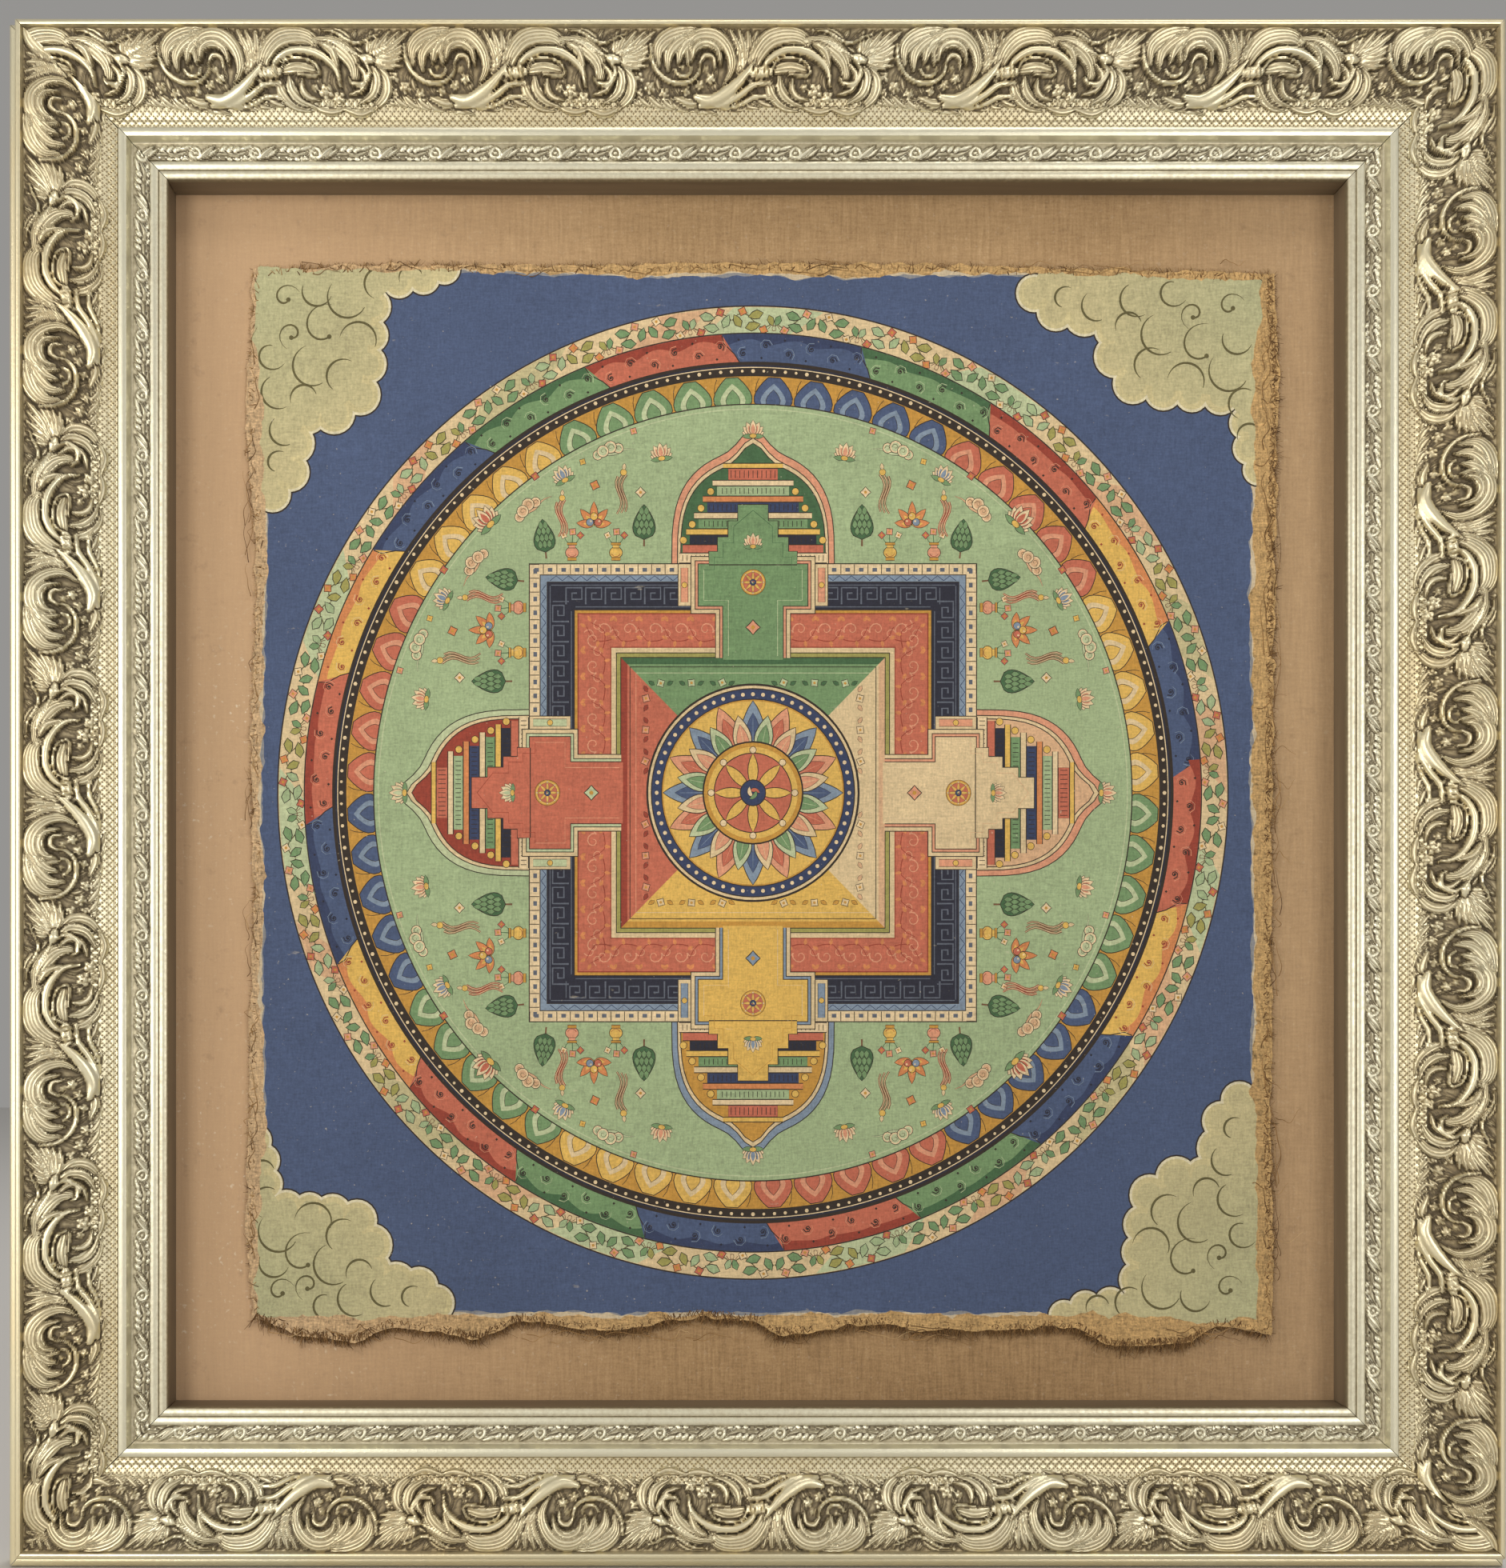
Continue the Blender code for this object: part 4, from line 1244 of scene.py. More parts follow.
def paint_rings(p):
    """The round's rings, from the outside in."""
    p.shape(disc(270), "cream", 0.8)
    for k in range(22):
        tint = ("blush", "pale_sage", "cream", "pale_sage", "blush", "cloud")[k * 5 % 6]
        start = k * 360 / 22 + 3 * math.sin(5 * k)
        p.fill(wedge(255, 269.7, start, start + 9 + 3 * math.sin(3 * k), 4), tint)
    VINE = ("leaf", "pink"), ("olive", "orange"), ("sage", "red"), ("leaf", "white")
    for k in range(68):
        turn = k * 360 / 68
        pigment, flower = VINE[k % 4]
        p.stamp(sprig, *(262.4 * ray(turn)), turn + 90, 1.40, k % 2 == 1, pigment=pigment, flower=flower)
    p.shape(disc(255), "ground", 0.7)
    FLAMES = (
        # outer tone, inner tone, curl, the light line along it
        ("deep_blue", "ground", "night", "pale_blue"),
        ("orange", "yellow", "deep_red", "cream"),
        ("deep_red", "red", "ink", "pink"),
        ("deep_leaf", "leaf", "ink", "pale_sage"),
    )
    JOIN = ((-2.2, 239), (-1.5, 244), (-0.2, 250), (0, 254.6))   # turn and distance of its places
    for k in range(20):
        outer, inner, dark, light = FLAMES[(k + k // 5) % 4]
        start = 18 * k + 4
        p.fill(wedge(238.8, 255, start, start + 18.2, -2.2), inner)
        rim = np.radians(np.linspace(start, start + 18.2, 31))
        wave = 249.0 + 2.4 * np.abs(np.sin(30 * (rim - rim[0]))) + 0.8 * np.sin(57 * rim)
        p.fill(np.concatenate([wave[:, None] * rays(rim), 255 * rays(rim)[::-5]]), outer)
        p.line([radius * ray(start + turn) for turn, radius in JOIN], 0.6, "ink", 1.0)
        for j in range(6):
            turn = start - 1.2 + 18.0 * (j + 0.5) / 6
            seat = (244.2 if j % 2 else 248.4) * ray(turn)
            p.stamp(curl, *seat, turn + 60 * (j % 3), 1.12, dark=dark, light=light)
            p.fill(disc(0.8, 4) + (251.8 if j % 2 else 241.6) * rays(math.radians(turn) + 0.01), dark)
    p.shape(disc(239), "ink", 0.5)
    for radius, pigment in ((237.8, "night"), (236.6, "white"), (236.1, "ink")):
        p.fill(disc(radius), pigment)
    for k in range(240):
        size = (1.15, 0.85, 1.0, 0.6, 1.0)[k * k % 5]
        p.fill(disc(size, 6) + 234.3 * rays(2 * math.pi * k / 240), "white")
    p.fill(disc(232.3), "ink")
    p.fill(disc(231.4), "ochre")
    TONES = ("yellow", "cream"), ("red", "pink"), ("ground", "pale_blue"), ("leaf", "pale_sage")
    for k in range(60):
        tone, light = TONES[(k // 5) % 4]
        p.stamp(ring_petal, 0, 0, 6 * k - 87, tone=tone, light=light)
    p.shape(disc(215.5), "sage", 0.7)
    p.fill(disc(213.5), "pale_sage")
    p.fill(disc(212.9), "sage")


def ring_petal(p, tone, light):
    """One petal of the lotus ring, standing between 216 and 231 mm out."""
    foot = petal(22, 21.5, 9, 0.62) + (0, 211.5)
    foot[:, 1] = np.minimum(foot[:, 1], 230.6)
    p.shape(foot, tone, 0.5)
    p.fill(petal(14.5, 14.5, 7, 0.62) + (0, 213.0), light)
    p.shape(petal(9.5, 8.0, 6, 0.62) + (0, 214.5), tone, 0.3)
    p.line([(-10.4, 222.5), (-9.9, 227), (-8.6, 230.2)], 0.4, "ink", 0.8)


def paint_court(p):
    """What grows and floats in the green court, the same in each of its eight parts."""
    PLACES = (
        # motif, across and up beside the upper gate, turn, size, colours
        (wisp, 82, 190, -14, 0.86, {}),
        (wisp, 128, 158, -38, 0.86, {"pigment": "blush"}),
        (lotus, 52, 186, -8, 0.72, {"pigment": "pink"}),
        (lotus, 107, 174, -26, 0.72, {"pigment": "pale_blue"}),
        (lotus, 149.5, 149.5, -45, 0.92, {"pigment": "red"}),
        (shrub, 62, 141, 0, 1.0, {}),
        (shrub, 118, 134, -6, 0.95, {}),
        (vase, 78, 133.5, 0, 0.92, {}),
        (vase, 103, 133.5, 0, 0.92, {"pigment": "pink"}),
        (jewel, 90.5, 149, 0, 0.86, {}),
        (streamer, 72, 177, 6, 0.80, {}),
        (streamer, 107, 163, 2, 0.74, {"pigment": "deep_red"}),
        (bud, 64, 167, 0, 0.7, {"pigment": "white"}),
        (bud, 90, 171, 20, 0.7, {"pigment": "orange"}),
        (bud, 124, 176, 10, 0.6, {"pigment": "red"}),
        (bud, 68, 201, 30, 0.55, {"pigment": "pink"}),
        (bud, 97, 184, 30, 0.5, {"pigment": "yellow"}),
    )
    for quarter in range(4):
        for mirrored in (False, True):
            for motif, across, up, turn, size, colours in PLACES:
                if mirrored and motif is lotus and across == up:
                    continue             # it stands on the fold, so once is enough
                sign = -1 if mirrored else 1
                seat = np.array([sign * across, up]) @ spin(-90 * quarter)
                p.stamp(motif, *seat, sign * turn - 90 * quarter, size, mirrored, **colours)


SIDES = (
    # turn; the field's colour, its shade, its light, the gate's trim
    (0, ("leaf", "deep_leaf", "pale_sage", "pink")),
    (90, ("red", "deep_red", "pink", "pale_sage")),
    (180, ("yellow", "ochre", "cream", "pale_blue")),
    (270, ("cream", "blush", "white", "pink")),
)


def paint_palace(p):
    """The square court: a parapet of tiles, a dark band of key pattern, a red band of scrolls,
    and a floor in four colours, with a gate through each side."""
    for turn, colours in SIDES:
        p.stamp(arch, 0, 0, turn, colours=colours)
    for half, pigment in (
        (127.6, "ink"), (127.0, "white"), (121.4, "ink"), (120.9, "pale_blue"), (117.4, "ink"),
        (116.9, "night"), (101.9, "ink"), (101.4, "ochre"), (99.9, "deep_red"), (99.2, "red"),
        (81.2, "deep_red"), (80.6, "cream"), (78.0, "ink"), (77.5, "olive"), (75.5, "ink"),
    ):
        p.fill(block(-half, -half, half, half), pigment)
    for motif in (palace_side, gate):
        for turn, colours in SIDES:
            p.stamp(motif, 0, 0, turn, colours=colours)


def palace_side(p, colours):
    """A quarter of the square, the upper one."""
    field, shade, light = colours[:3]
    for k in range(33):
        across = -127 + 254 * (k + 0.5) / 33
        p.line([(across + 3.85, 121.6), (across + 3.85, 126.9)], 0.45, "ink", 1.0)
        p.fill(block(across - 1.3, 122.9, across + 1.3, 125.0), "slate")
    for k in range(-16, 17):
        p.line([(7 * k - 3.5, 117.9), (7 * k, 120.6), (7 * k + 3.5, 117.9)], 0.4, "deep_blue", 1.0)
    KEY = np.array(
        [(-5.6, -4.6), (-5.6, 4.6), (3.4, 4.6), (3.4, -1.8), (-2.2, -1.8), (-2.2, 1.6), (0.6, 1.6)]
    )
    for k in range(-9, 10):
        across = 11.2 * k
        p.line(KEY + (across, 109.4), 0.95, "slate", 1.0)
        p.line(KEY[:2] * (-0.9, 1) + (across + 0.5, 109.4), 0.5, "slate", 1.0)
    p.fill(block(-101, 103.1, 101, 103.6), "slate")
    p.fill(block(-115, 115.2, 115, 115.7), "slate")
    for k in range(-6, 7):
        p.stamp(scroll, 14.6 * k, 90.2, 0, 1.0, mirrored=k < 0)
    p.fill([(-75, 75), (75, 75), (0, 0)], field)
    p.fill([(-75, 75), (75, 75), (71.5, 71.5), (-71.5, 71.5)], shade)
    p.line([(-70, 70), (0, 70), (70, 70)], 0.45, "ink", 1.0)
    p.line([(-66.6, 66.6), (0, 66.6), (66.6, 66.6)], 0.35, light, 1.0)
    for k in range(-3, 4):
        if k:
            p.stamp(bud, 17.5 * k, 61.5 - 0.2 * abs(k), 20 * k, 0.62, pigment=light)
            for side in (-1, 1):
                p.stamp(leaf_blade, 17.5 * k + side * 3.6, 60, side * -60, 0.5, pigment=shade)


def scroll(p):
    """A piece of the red band's running scroll, 14 mm long."""
    p.line(coil(4.9, 200, -190, 12, 0.22) + (-2.2, 0.6), 0.75, "pink", 0.5)
    p.line(coil(3.6, 20, 350, 9, 0.25) + (5.2, -2.2), 0.6, "pink", 0.5)
    p.line(eased([(-7, -5), (-2, -6), (3, -5), (7, 2)], 6), 0.6, "deep_red", 0.6)
    for across, up, turn in ((-6.2, 5.2, 40), (4.6, 5.0, -30), (0.4, -5.6, 190), (-6.6, -3.0, 120)):
        p.fill(petal(3.8, 2.0, 5) @ spin(turn) + (across, up), "orange")


def arch(p, colours):
    """The pointed arch behind the gate, in bands, with a lotus bud at its tip."""
    shade, trim = colours[1], colours[3]
    for size, pigment in ((1.0, trim), (0.93, "cream"), (0.89, shade)):
        across = np.linspace(-1, 1, 31)
        crown = 62 * size * np.cos(across * math.pi / 2) ** 0.62 + 12 * np.exp(-((across / 0.13) ** 2)) * size
        outline = np.stack([46 * size * np.sin(across * math.pi / 2), 128 + crown], 1)
        p.shape(np.concatenate([outline, [(46 * size, 120), (-46 * size, 120)]]), pigment, 0.55)
    p.stamp(lotus, 0, 198.5, 0, 0.72, pigment=trim)


def gate(p, colours):
    """The gate above the square: a T of the quarter's colour, posts, and a roof of stepped beams."""
    field, shade, light, trim = colours
    BEAMS = (
        # half width, lower and upper edge, pigment
        (42.0, 128.0, 133.0, "white"), (40.0, 133.6, 137.6, "red"), (36.0, 138.2, 143.0, "night"),
        (38.0, 143.6, 146.4, "yellow"), (31.0, 147.0, 152.0, "leaf"), (33.5, 152.6, 155.4, "cream"),
        (26.0, 156.0, 161.2, "deep_blue"), (28.5, 161.8, 164.6, "orange"), (20.5, 165.2, 170.2, "sage"),
        (23.0, 170.8, 173.4, "white"), (14.0, 174.0, 180.0, "red"), (17.0, 180.6, 182.8, "yellow"),
    )
    for half, low, high, pigment in BEAMS:
        p.shape(block(-half, low, half, high), pigment, 0.5)
        steps = int(half / 2.6) if high - low > 4 else -1
        for k in range(-steps, steps + 1):
            p.line([(2.5 * k, low + 0.9), (2.5 * k, high - 0.9)], 0.4, "ink", 1.0)
    for side in (-1, 1):
        for half, low, high, pigment in BEAMS[2:10:2]:
            p.shape(disc(1.9, 9) + (side * (half + 3.6), low + 2.2), "yellow", 0.35)
    steps = [(-17, 74), (-17, 104), (-31, 104), (-31, 127), (31, 127), (31, 104), (17, 104), (17, 74)]
    steps = np.array(steps, float)
    for grow, pigment in ((4.6, "ink"), (4.1, "cream"), (2.2, "ink"), (1.7, trim), (0.5, "ink")):
        wide = steps + np.sign(steps - (0, 104)) * grow
        wide[:, 1] = np.where(steps[:, 1] == 104, 104 - grow, wide[:, 1])
        wide[[0, -1], 1] = 75
        p.fill(wide, pigment)
    p.fill(steps, field)
    crown = [(-25, 127), (-25, 134), (-20, 134), (-20, 142), (-14, 142), (-14, 151), (-8.5, 151), (-8.5, 160)]
    crown = np.array(crown + [(-x, z) for x, z in crown[::-1]], float)
    p.shape(crown, field, 0.6)
    for path, pigment in (
        ([(14, 76), (14, 107), (28, 107), (28, 124)], light),
        ([(28, 124), (22, 124), (22, 131), (17, 131), (17, 139), (11, 139), (11, 148), (0, 157)], shade),
    ):
        for side in (-1, 1):
            p.line(np.array(path) * (side, 1), 0.35, pigment, 1.0)
    p.stamp(wheel, 0, 117, 0, 0.235)
    p.stamp(lotus, 0, 137, 0, 0.62, pigment=trim)
    p.stamp(bud, 0, 92, 0, 0.95, pigment=trim)
    for side in (-1, 1):
        p.shape(block(side * 39 - 3.4, 104, side * 39 + 3.4, 127), "cream", 0.5)
        p.shape(block(side * 39 - 1.9, 106, side * 39 + 1.9, 125), trim, 0.3)
        p.shape(disc(1.5, 8) + (side * 39, 115.5), "yellow", 0.3)


def wheel(p):
    """A wheel of eight spokes, 60 mm across."""
    p.shape(disc(30, 40), "ochre", 1.0)
    p.fill(disc(27.5, 40), "yellow")
    p.shape(disc(23.5, 36), "red", 0.6)
    for k in range(8):
        turned = spin(45 * k)
        p.shape(petal(21, 6.5, 7, 0.9, 0.4) @ turned + 2.5 * turned[1], "yellow", 0.5)
        p.shape(disc(1.9, 9) + 25.6 * turned[1], "white", 0.4)
    p.shape(disc(7.5, 20), "deep_blue", 0.6)
    for k in range(3):
        p.shape(coil(4.2, 120 * k, 120 * k + 150, 8, 0.5), ("red", "white", "leaf")[k], 0.3)


def paint_middle(p):
    """The round flower in the middle of the floor."""
    p.shape(disc(60.5), "ink", 0.3)
    for radius, pigment in ((59.6, "cream"), (58.2, "ink"), (57.6, "deep_blue")):
        p.fill(disc(radius), pigment)
    for k in range(60):
        p.fill(disc(1.15, 7) + 54.8 * ray(6 * k), "white")
    p.shape(disc(51.8), "ochre", 0.5)
    p.fill(disc(51.0), "yellow")
    LAYERS = (
        # first turn, length, width, distance from the middle; light and tone of each second petal
        (0.0, 27.5, 12.8, 23.5, (("pale_blue", "ground"), ("pink", "red"))),
        (0.5, 20.5, 10.0, 23.0, (("cream", "pink"), ("pale_sage", "leaf"))),
    )
    for first, length, width, radius, tones in LAYERS:
        for k in range(16):
            turned = spin((k + first) * 360 / 16)
            light, tone = tones[k % 2]
            out = radius * turned[1]
            p.shape(petal(length, width, 9, 0.72) @ turned + out, light, 0.5)
            p.shape(petal(length * 0.76, width * 0.68, 8, 0.72) @ turned + out, tone, 0.25)
            p.line(np.array([(0, 3), (0, length * 0.4), (0, length * 0.66)]) @ turned + out, 0.4, light, 0.4)
    p.stamp(wheel, 0, 0, 0, 0.93)


SIDE_POINTS = 400


def torn_outline():
    """The cloth's edge, a point every 1.5 mm or so, with the small steps of a tear."""
    ragged = np.random.default_rng(11)
    share = np.arange(SIDE_POINTS) / SIDE_POINTS
    zero, one = np.zeros(SIDE_POINTS), np.ones(SIDE_POINTS)
    sides = (share, zero), (one, share), (1 - share, one), (zero, 1 - share)
    edge = np.concatenate([cloth_place(*side) for side in sides])
    coarse = np.repeat(ragged.normal(0, 1, (len(edge) // 4, 2)), 4, 0)
    return edge + 0.40 * smoothed(coarse, 2) + 0.16 * ragged.normal(0, 1, edge.shape)


def meshed(points, edges=(), faces=()):
    """A flat mesh of triangles through points that keeps every edge and face given.

    Gives the places, the triangles' corners, which given point each place was, or -1,
    and the faces over each triangle.
    """
    made = delaunay_2d_cdt(points.tolist(), edges, faces, 0, 1e-4, True)
    given = np.array([places[0] if places else -1 for places in made[3]])
    return np.array(made[0]), np.array(made[2]), given, made[5]


def partners(corners, count):
    """For each edge of each triangle as it runs round: its key, and the triangle over it, or -1."""
    ahead = np.roll(corners, -1, 1)
    key = (corners * count + ahead).ravel()
    back = (ahead * count + corners).ravel()
    order = np.argsort(key)
    spot = np.minimum(np.searchsorted(key[order], back), len(key) - 1)
    over = np.where(key[order][spot] == back, order[spot] // 3, -1)
    return key, over


def fenced(points, pairs, values):
    """A flat mesh of what lies inside edges, and the value that each triangle takes.

    pairs are the points at each edge's ends, with the value's side on its left. The value
    then spreads to the triangles that touch no edge. Gives the places, the triangles, their
    values, and the place of each given point.
    """
    places, corners, given = meshed(points, pairs.tolist())[:3]
    seat = np.full(len(points), -1)
    seat[given[given >= 0]] = np.flatnonzero(given >= 0)
    known = seat[pairs[:, 0]] * len(places) + seat[pairs[:, 1]]
    key, over = partners(corners, len(places))
    order = np.argsort(known)
    spot = np.minimum(np.searchsorted(known[order], key), len(known) - 1)
    found = known[order][spot] == key
    value = np.full(len(corners), -1)
    value[np.flatnonzero(found) // 3] = values[order][spot][found]
    closed = found | (over < 0) | np.isin(key % len(places) * len(places) + key // len(places), known)
    while True:
        reached = np.flatnonzero(~closed & (np.repeat(value, 3) < 0) & (value[over] >= 0))
        if not len(reached):
            return places, corners[value >= 0], value[value >= 0], seat
        value[reached // 3] = value[over[reached]]


def pieced(outline, painting, loose):
    """The cloth's front as triangles, each of the pigment that shows there: places, corners
    and pigments. Loose points are added inside, so that the cloth can drape.

    A first mesh of every shape finds the topmost one over each triangle. The second keeps
    only the edges where the pigment changes, so that nothing hidden is left in it.
    """
    names = list(PIGMENTS)
    shapes = [outline, *painting.shapes]
    colours = np.array([names.index(name) for name in ("raw", *painting.pigments)])
    starts = np.cumsum([0] + [len(shape) for shape in shapes])
    faces = [list(range(start, end)) for start, end in zip(starts, starts[1:])]
    places, corners, _, covers = meshed(np.concatenate(shapes), faces=faces)
    top = np.array([max(cover) if 1 in cover else 0 if 0 in cover else -1 for cover in covers])
    pigment = np.where(top < 0, -1, colours[top])
    key, over = partners(corners, len(places))
    mine = np.repeat(pigment, 3)
    change = (mine >= 0) & (mine != np.where(over < 0, -1, pigment[over]))
    ends = np.stack([key[change] // len(places), key[change] % len(places)], 1)
    used, pairs = np.unique(ends, return_inverse=True)
    return fenced(np.concatenate([places[used], loose]), pairs.reshape(-1, 2), mine[change])[:3]


def loose_points(left, right, low, high, step):
    """Points in even rows and columns."""
    rows = np.meshgrid(np.arange(left, right, step), np.arange(low, high, step))
    return np.stack(rows, -1).reshape(-1, 2)


painting = Painting()
for paint in (paint_ground, paint_rings, paint_court, paint_palace, paint_middle):
    paint(painting)

board_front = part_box("mount_board")[0].y / MM
drape = loose_points(-280, 290, -290, 294, 16.0)
front, front_faces, front_pigments = pieced(torn_outline(), painting, drape)

# the back: the same edge, with few points inside it
key, over = partners(front_faces, len(front))
rim = np.stack([key[over < 0] // len(front), key[over < 0] % len(front)], 1)
rim_seats, rim_pairs = np.unique(rim, return_inverse=True)
rim_pairs = rim_pairs.reshape(-1, 2)
back_points = np.concatenate([front[rim_seats], loose_points(-270, 281, -285, 286, 25.0)])
back, back_faces, _, seat = fenced(back_points, rim_pairs, np.zeros(len(rim), int))
walls = np.concatenate([rim[:, ::-1], len(front) + seat[rim_pairs]], 1)

flat_places = np.concatenate([front, back])
lift = cloth_lift(flat_places)
lift[: len(front)] += CLOTH_THICKNESS
cloth_points = np.insert(flat_places, 1, board_front - JOINT_GAP / MM - lift, axis=1) * MM
loops = np.concatenate([front_faces.ravel(), (back_faces[:, ::-1] + len(front)).ravel(), walls.ravel()])
sizes = np.concatenate([np.full(len(front_faces) + len(back_faces), 3), np.full(len(walls), 4)])


def linear(colour):
    """A colour of 255 as the shaders count it."""
    share = np.asarray(colour) / 255
    return np.where(share < 0.04045, share / 12.92, ((share + 0.055) / 1.055) ** 2.4)


canvas = Finish("painted_cotton", Roughness=0.82, IOR=1.42)
warp = canvas.noise(900.0, 2.0, 0.6, stretch=(1.0, 1.0, 0.22))
weft = canvas.noise(900.0, 2.0, 0.6, stretch=(0.22, 1.0, 1.0), seat=(0.3, 0.0, 0.7))
cloud = canvas.noise(16.0, 4.0)
grit = canvas.noise(900.0, 2.0)
bare = canvas.attribute("bare")
weave = (warp + weft) * 0.5
mottle = canvas.noise(70.0, 3.0)
tone = 1.0 + (weave - 0.5) * (1.1 + bare * 1.4) + (cloud - 0.5) * 0.30 + (mottle - 0.5) * 0.16
tone = tone + (grit - 0.5) * (0.5 + bare * 0.8)
colour = canvas.attribute("pigment", "Color")
colour = canvas.node("ShaderNodeVectorMath", {"operation": "SCALE"}, _0=colour, Scale=tone)
dust = canvas.noise(520.0, 1.0).between(0.74, 0.82) * (1.0 - bare)
scuff = canvas.noise(55.0, 4.0, 0.7, stretch=(1.0, 1.0, 3.0)).between(0.69, 0.78) * (1.0 - bare) * 0.45
colour = canvas.mix((dust * 0.40 + scuff).clamped(), colour, linear((206, 196, 172)))
canvas.drive(Base_Color=colour, Roughness=0.74 + weave * 0.2)
canvas.bump(weave * 0.8 + grit * 0.2, 0.55, 0.0004)

cloth = mesh_piece("painted_cloth", cloth_points, loops, sizes, canvas, soft=50)

# its colours: the bare cloth greyer to the left, the clouds greener to the corners, and all of it a little
# darker towards the foot, as painted shade of the light from above
PALE_RAW = (182, 154, 118)
pigment_table = np.array([linear(colour) for colour in PIGMENTS.values()])
shown = np.zeros(len(sizes), int)
shown[: len(front_faces)] = front_pigments
right, high = flat_places[loops].T
is_raw, is_cloud = (np.repeat(shown == list(PIGMENTS).index(name), sizes) for name in ("raw", "cloud"))
greyer = np.clip(-right / 260, 0, 1) ** 2 * is_raw
from_corner = np.minimum(280 - np.abs(right), 0) + np.hypot(290 - np.abs(right), 290 - np.abs(high))
greener = np.clip(1.15 - from_corner / 95, 0, 1) * is_cloud
corner_colours = np.repeat(pigment_table[shown], sizes, 0)
for share, tint in ((greyer[:, None], PALE_RAW), (greener[:, None], PIGMENTS["cloud_shade"])):
    corner_colours = corner_colours * (1 - share) + linear(tint) * share
# painted shade: every colour a little darker towards the foot and lighter at the top
corner_colours = corner_colours * (1.04 - 0.13 * np.clip(0.5 - high[:, None] / 580, 0, 1))
carried = cloth.data.attributes.new("pigment", "FLOAT_COLOR", "CORNER")
carried.data.foreach_set("color", np.insert(corner_colours, 3, 1.0, axis=1).astype(np.float32).ravel())
carry(cloth, "bare", shown == 0, "FACE")

# its layout: the front takes most of it, and the back a narrow strip beside it
layout = cloth.data.uv_layers.new(name="OFBake")
LAYOUT_MARGIN, LAYOUT_SPAN = (12, 16), (610, 632)
FRONT_SHARE, BACK_START, BACK_SHARE = 0.965, 0.975, 0.022
u = (right - CLOTH_LEFT + LAYOUT_MARGIN[0]) / LAYOUT_SPAN[0]
v = (high - CLOTH_BOTTOM + LAYOUT_MARGIN[1]) / LAYOUT_SPAN[1]
is_back = np.repeat(np.arange(len(sizes)) >= len(front_faces), sizes)
u = np.where(is_back, BACK_START + BACK_SHARE * u, FRONT_SHARE * u)
layout.data.foreach_set("uv", np.stack([u, v], 1).astype(np.float32).ravel())
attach(cloth, "root")
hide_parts("thangka_cloth")

# ---------------------------------------------------------------------------
# Frayed edges: the cloth's own cotton threads, pulled out where it was torn. Short
# ends stand out of every edge, and long ones lie along the bare margins.
# ---------------------------------------------------------------------------

TIP_THINNER = 0.7
SHADED_ROOT_TONE, TIP_TONE = 0.55, 1.2


def strands(name, paths, radius, tones):
    """Tapered three-sided threads, closed at both ends, dark at the root and paler to the tip: the roots are
    darker fibres and also painted shade, where the lifted edge shades them. paths holds each thread's places
    from root to tip, and a ring of three points stands about each place, across the run and towards the
    front."""
    count, stations = paths.shape[:2]
    run = np.gradient(paths, axis=1)
    side = np.stack([-run[..., 2], np.zeros((count, stations)), run[..., 0]], -1)
    side /= np.maximum(np.linalg.norm(side, axis=-1, keepdims=True), 1e-9)
    outward = np.zeros_like(side)
    outward[..., 1] = 1.0
    thin = radius[:, None] * (1 - TIP_THINNER * np.linspace(0, 1, stations))
    angles = np.radians([90, 210, 330])
    ring = side[:, :, None] * np.cos(angles)[:, None] + outward[:, :, None] * np.sin(angles)[:, None]
    points = (paths[:, :, None] + ring * thin[..., None, None]).reshape(-1, 3)
    here = np.arange(3)
    one = (np.arange(stations - 1)[:, None] * 3 + here)[..., None]
    turn = (np.arange(stations - 1)[:, None] * 3 + (here + 1) % 3)[..., None]
    quads = np.concatenate([one, turn, turn + 3, one + 3], -1).reshape(-1, 4)
    base = np.arange(count)[:, None, None] * stations * 3
    caps = np.array([[2, 1, 0], 3 * (stations - 1) + here])
    loops = np.concatenate([(quads + base).ravel(), (caps + base).ravel()])
    sizes = np.concatenate([np.full(count * len(quads), 4), np.full(count * 2, 3)])
    piece = mesh_piece(name, points * MM, loops, sizes, cotton)
    carry(piece, "tone", np.repeat(tones[:, None] * np.linspace(SHADED_ROOT_TONE, TIP_TONE, stations), 3))
    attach(piece, "root")
    return piece


cotton = Finish("frayed_cotton", Roughness=0.9, IOR=1.42)
tone = cotton.attribute("tone")
cotton.drive(Base_Color=cotton.ramp(
    tone + (cotton.noise(300.0) - 0.5) * 0.3,
    ((0.0, linear((74, 48, 26))), (0.45, linear((156, 120, 74))), (1.0, linear((210, 182, 136)))),
))
cotton.bump(cotton.noise(1800.0, 2.0), 0.4, 0.0002)

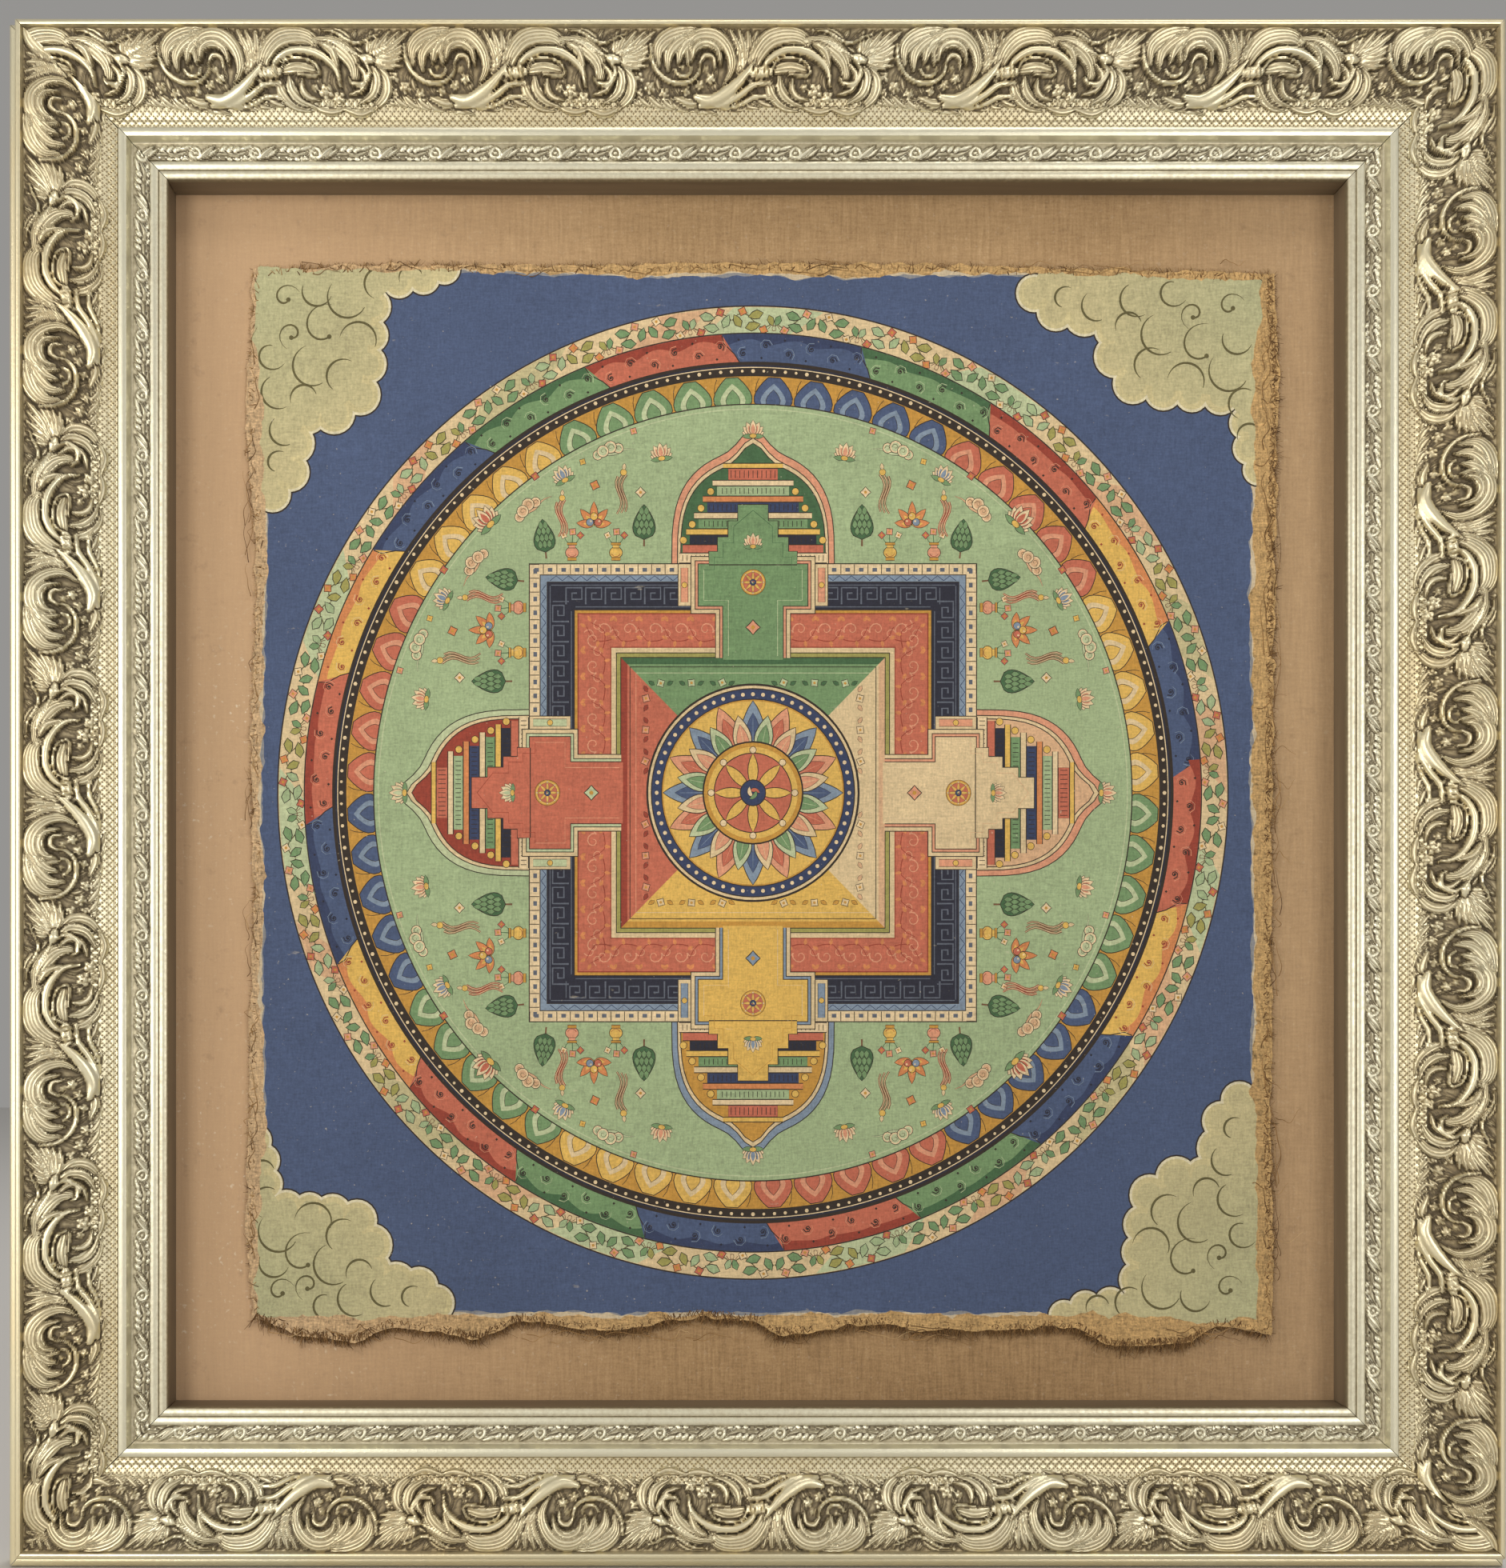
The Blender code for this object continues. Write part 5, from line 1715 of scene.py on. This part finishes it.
SHORT_ENDS = (
    # side, outward, ends, shortest, longest, lean in degrees, tufts along the side, paleness,
    # share over the edge
    ("bottom", (0.0, -1.0), 3000, 2.6, 9.5, 24, 71, 0.62, 0.5),
    ("top", (0.0, 1.0), 1200, 1.4, 5.0, 45, 53, 1.2, 0.25),
    ("left", (-1.0, 0.0), 1000, 1.0, 3.6, 50, 47, 1.5, 0.2),
    ("right", (1.0, 0.0), 1600, 1.6, 6.0, 60, 61, 0.8, 0.6),
)
straying = np.random.default_rng(5)
for side, outward, count, shortest, longest, lean, tufts, paleness, share_over in SHORT_ENDS:
    out = np.array(outward)
    along = np.sort(straying.uniform(0.004, 0.996, count))
    edge = np.full(count, out.max())
    tuft = 0.5 + 0.5 * np.sin(tufts * along * 6.3 + 4 * np.sin(23 * along))
    tuft = 0.3 + 0.7 * tuft * (0.7 + 0.3 * np.sin(37 * along + 1))
    length = shortest + (longest - shortest) * tuft * straying.uniform(0.1, 1, count) ** 1.6
    swing = rays(np.radians(straying.normal(0, lean, count).clip(-75, 75)))
    heading = swing[:, :1] * out + swing[:, 1:] * (-out[1], out[0])
    over = straying.uniform(size=(count, 1)) < share_over
    depth = np.where(over, straying.uniform(1.2, 4.5, (count, 1)), straying.uniform(0.8, 2.0, (count, 1)))
    roots = (cloth_place(edge, along) if out[0] else cloth_place(along, edge)) - out * depth
    t = np.linspace(0, 1, 4)[None, :, None]
    reach = length[:, None, None] + depth[:, None]
    bend = straying.normal(0, 0.22, (count, 1, 1)) * reach
    across = np.stack([-heading[:, 1], heading[:, 0]], 1)[:, None]
    flat = roots[:, None] + heading[:, None] * reach * t + across * bend * t * t
    inside = CLOTH_THICKNESS * straying.uniform(0.25, 0.65, (count, 1))
    rise = cloth_lift(roots)[:, None] + np.where(over, CLOTH_THICKNESS + 0.2, inside)
    t = t[..., 0]
    rise = rise * (1 - 0.75 * np.where(over, t**2.6, t**1.5))
    rise = rise + (0.45 + straying.uniform(0, 0.9, (count, 1))) * t
    paths = np.insert(flat, 1, board_front - rise, axis=2)
    radius = straying.uniform(0.16, 0.36, count)
    # darker in thick tufts and on the bottom edge (its low paleness): partly darker fibres, partly painted
    # shade of the lifted edge and of the tufts
    tones = straying.beta(1.3, 1.5, count) * (1 - 0.35 * tuft) * paleness
    strands(f"fringe_{side}", paths, radius, tones)

LONG_ENDS = (
    # ends, across from and to, up from and to, shortest, longest, waver, upright
    (60, 286.0, 293.5, -280, 275, 8, 46, 1.8, True),
    (16, 289.0, 300.0, -270, 250, 8, 20, 3.0, False),
    (40, -286.5, -281.0, -280, 275, 6, 30, 1.6, True),
    (40, -276.0, 285.0, -306, -298, 8, 34, 1.8, False),
    (30, -276.0, 285.0, 295, 301, 8, 30, 1.4, False),
)
LONG_RADIUS = 0.26
paths, tones = [], []
for count, left, right, low, high, shortest, longest, waver, upright in LONG_ENDS:
    t = np.linspace(-0.5, 0.5, 17)[None, :]
    length = straying.uniform(shortest, longest, (count, 1))
    start = straying.uniform(left, right, (count, 1)), straying.uniform(low, high, (count, 1))
    phase, speed = straying.uniform(0, 6.3, (count, 1)), straying.uniform(3, 8, (count, 1))
    drift = waver * (np.sin(speed * t + phase) + 0.35 * np.sin(2.2 * speed * t + 2 * phase))
    drift = drift + straying.normal(0, 0.6, (count, 1)) * t * waver
    steps = (drift, length * t) if upright else (length * t, drift)
    flat = np.stack([place + step for place, step in zip(start, steps)], -1)
    rise = cloth_lift(flat.reshape(-1, 2)).reshape(flat.shape[:2]) + CLOTH_THICKNESS + 0.45
    paths.append(np.insert(flat, 1, board_front - rise, axis=2))
    tones.append(straying.beta(1.6, 1.8, count))
tones = np.concatenate(tones)
strands("long_threads", np.concatenate(paths), np.full(len(tones), LONG_RADIUS), tones)
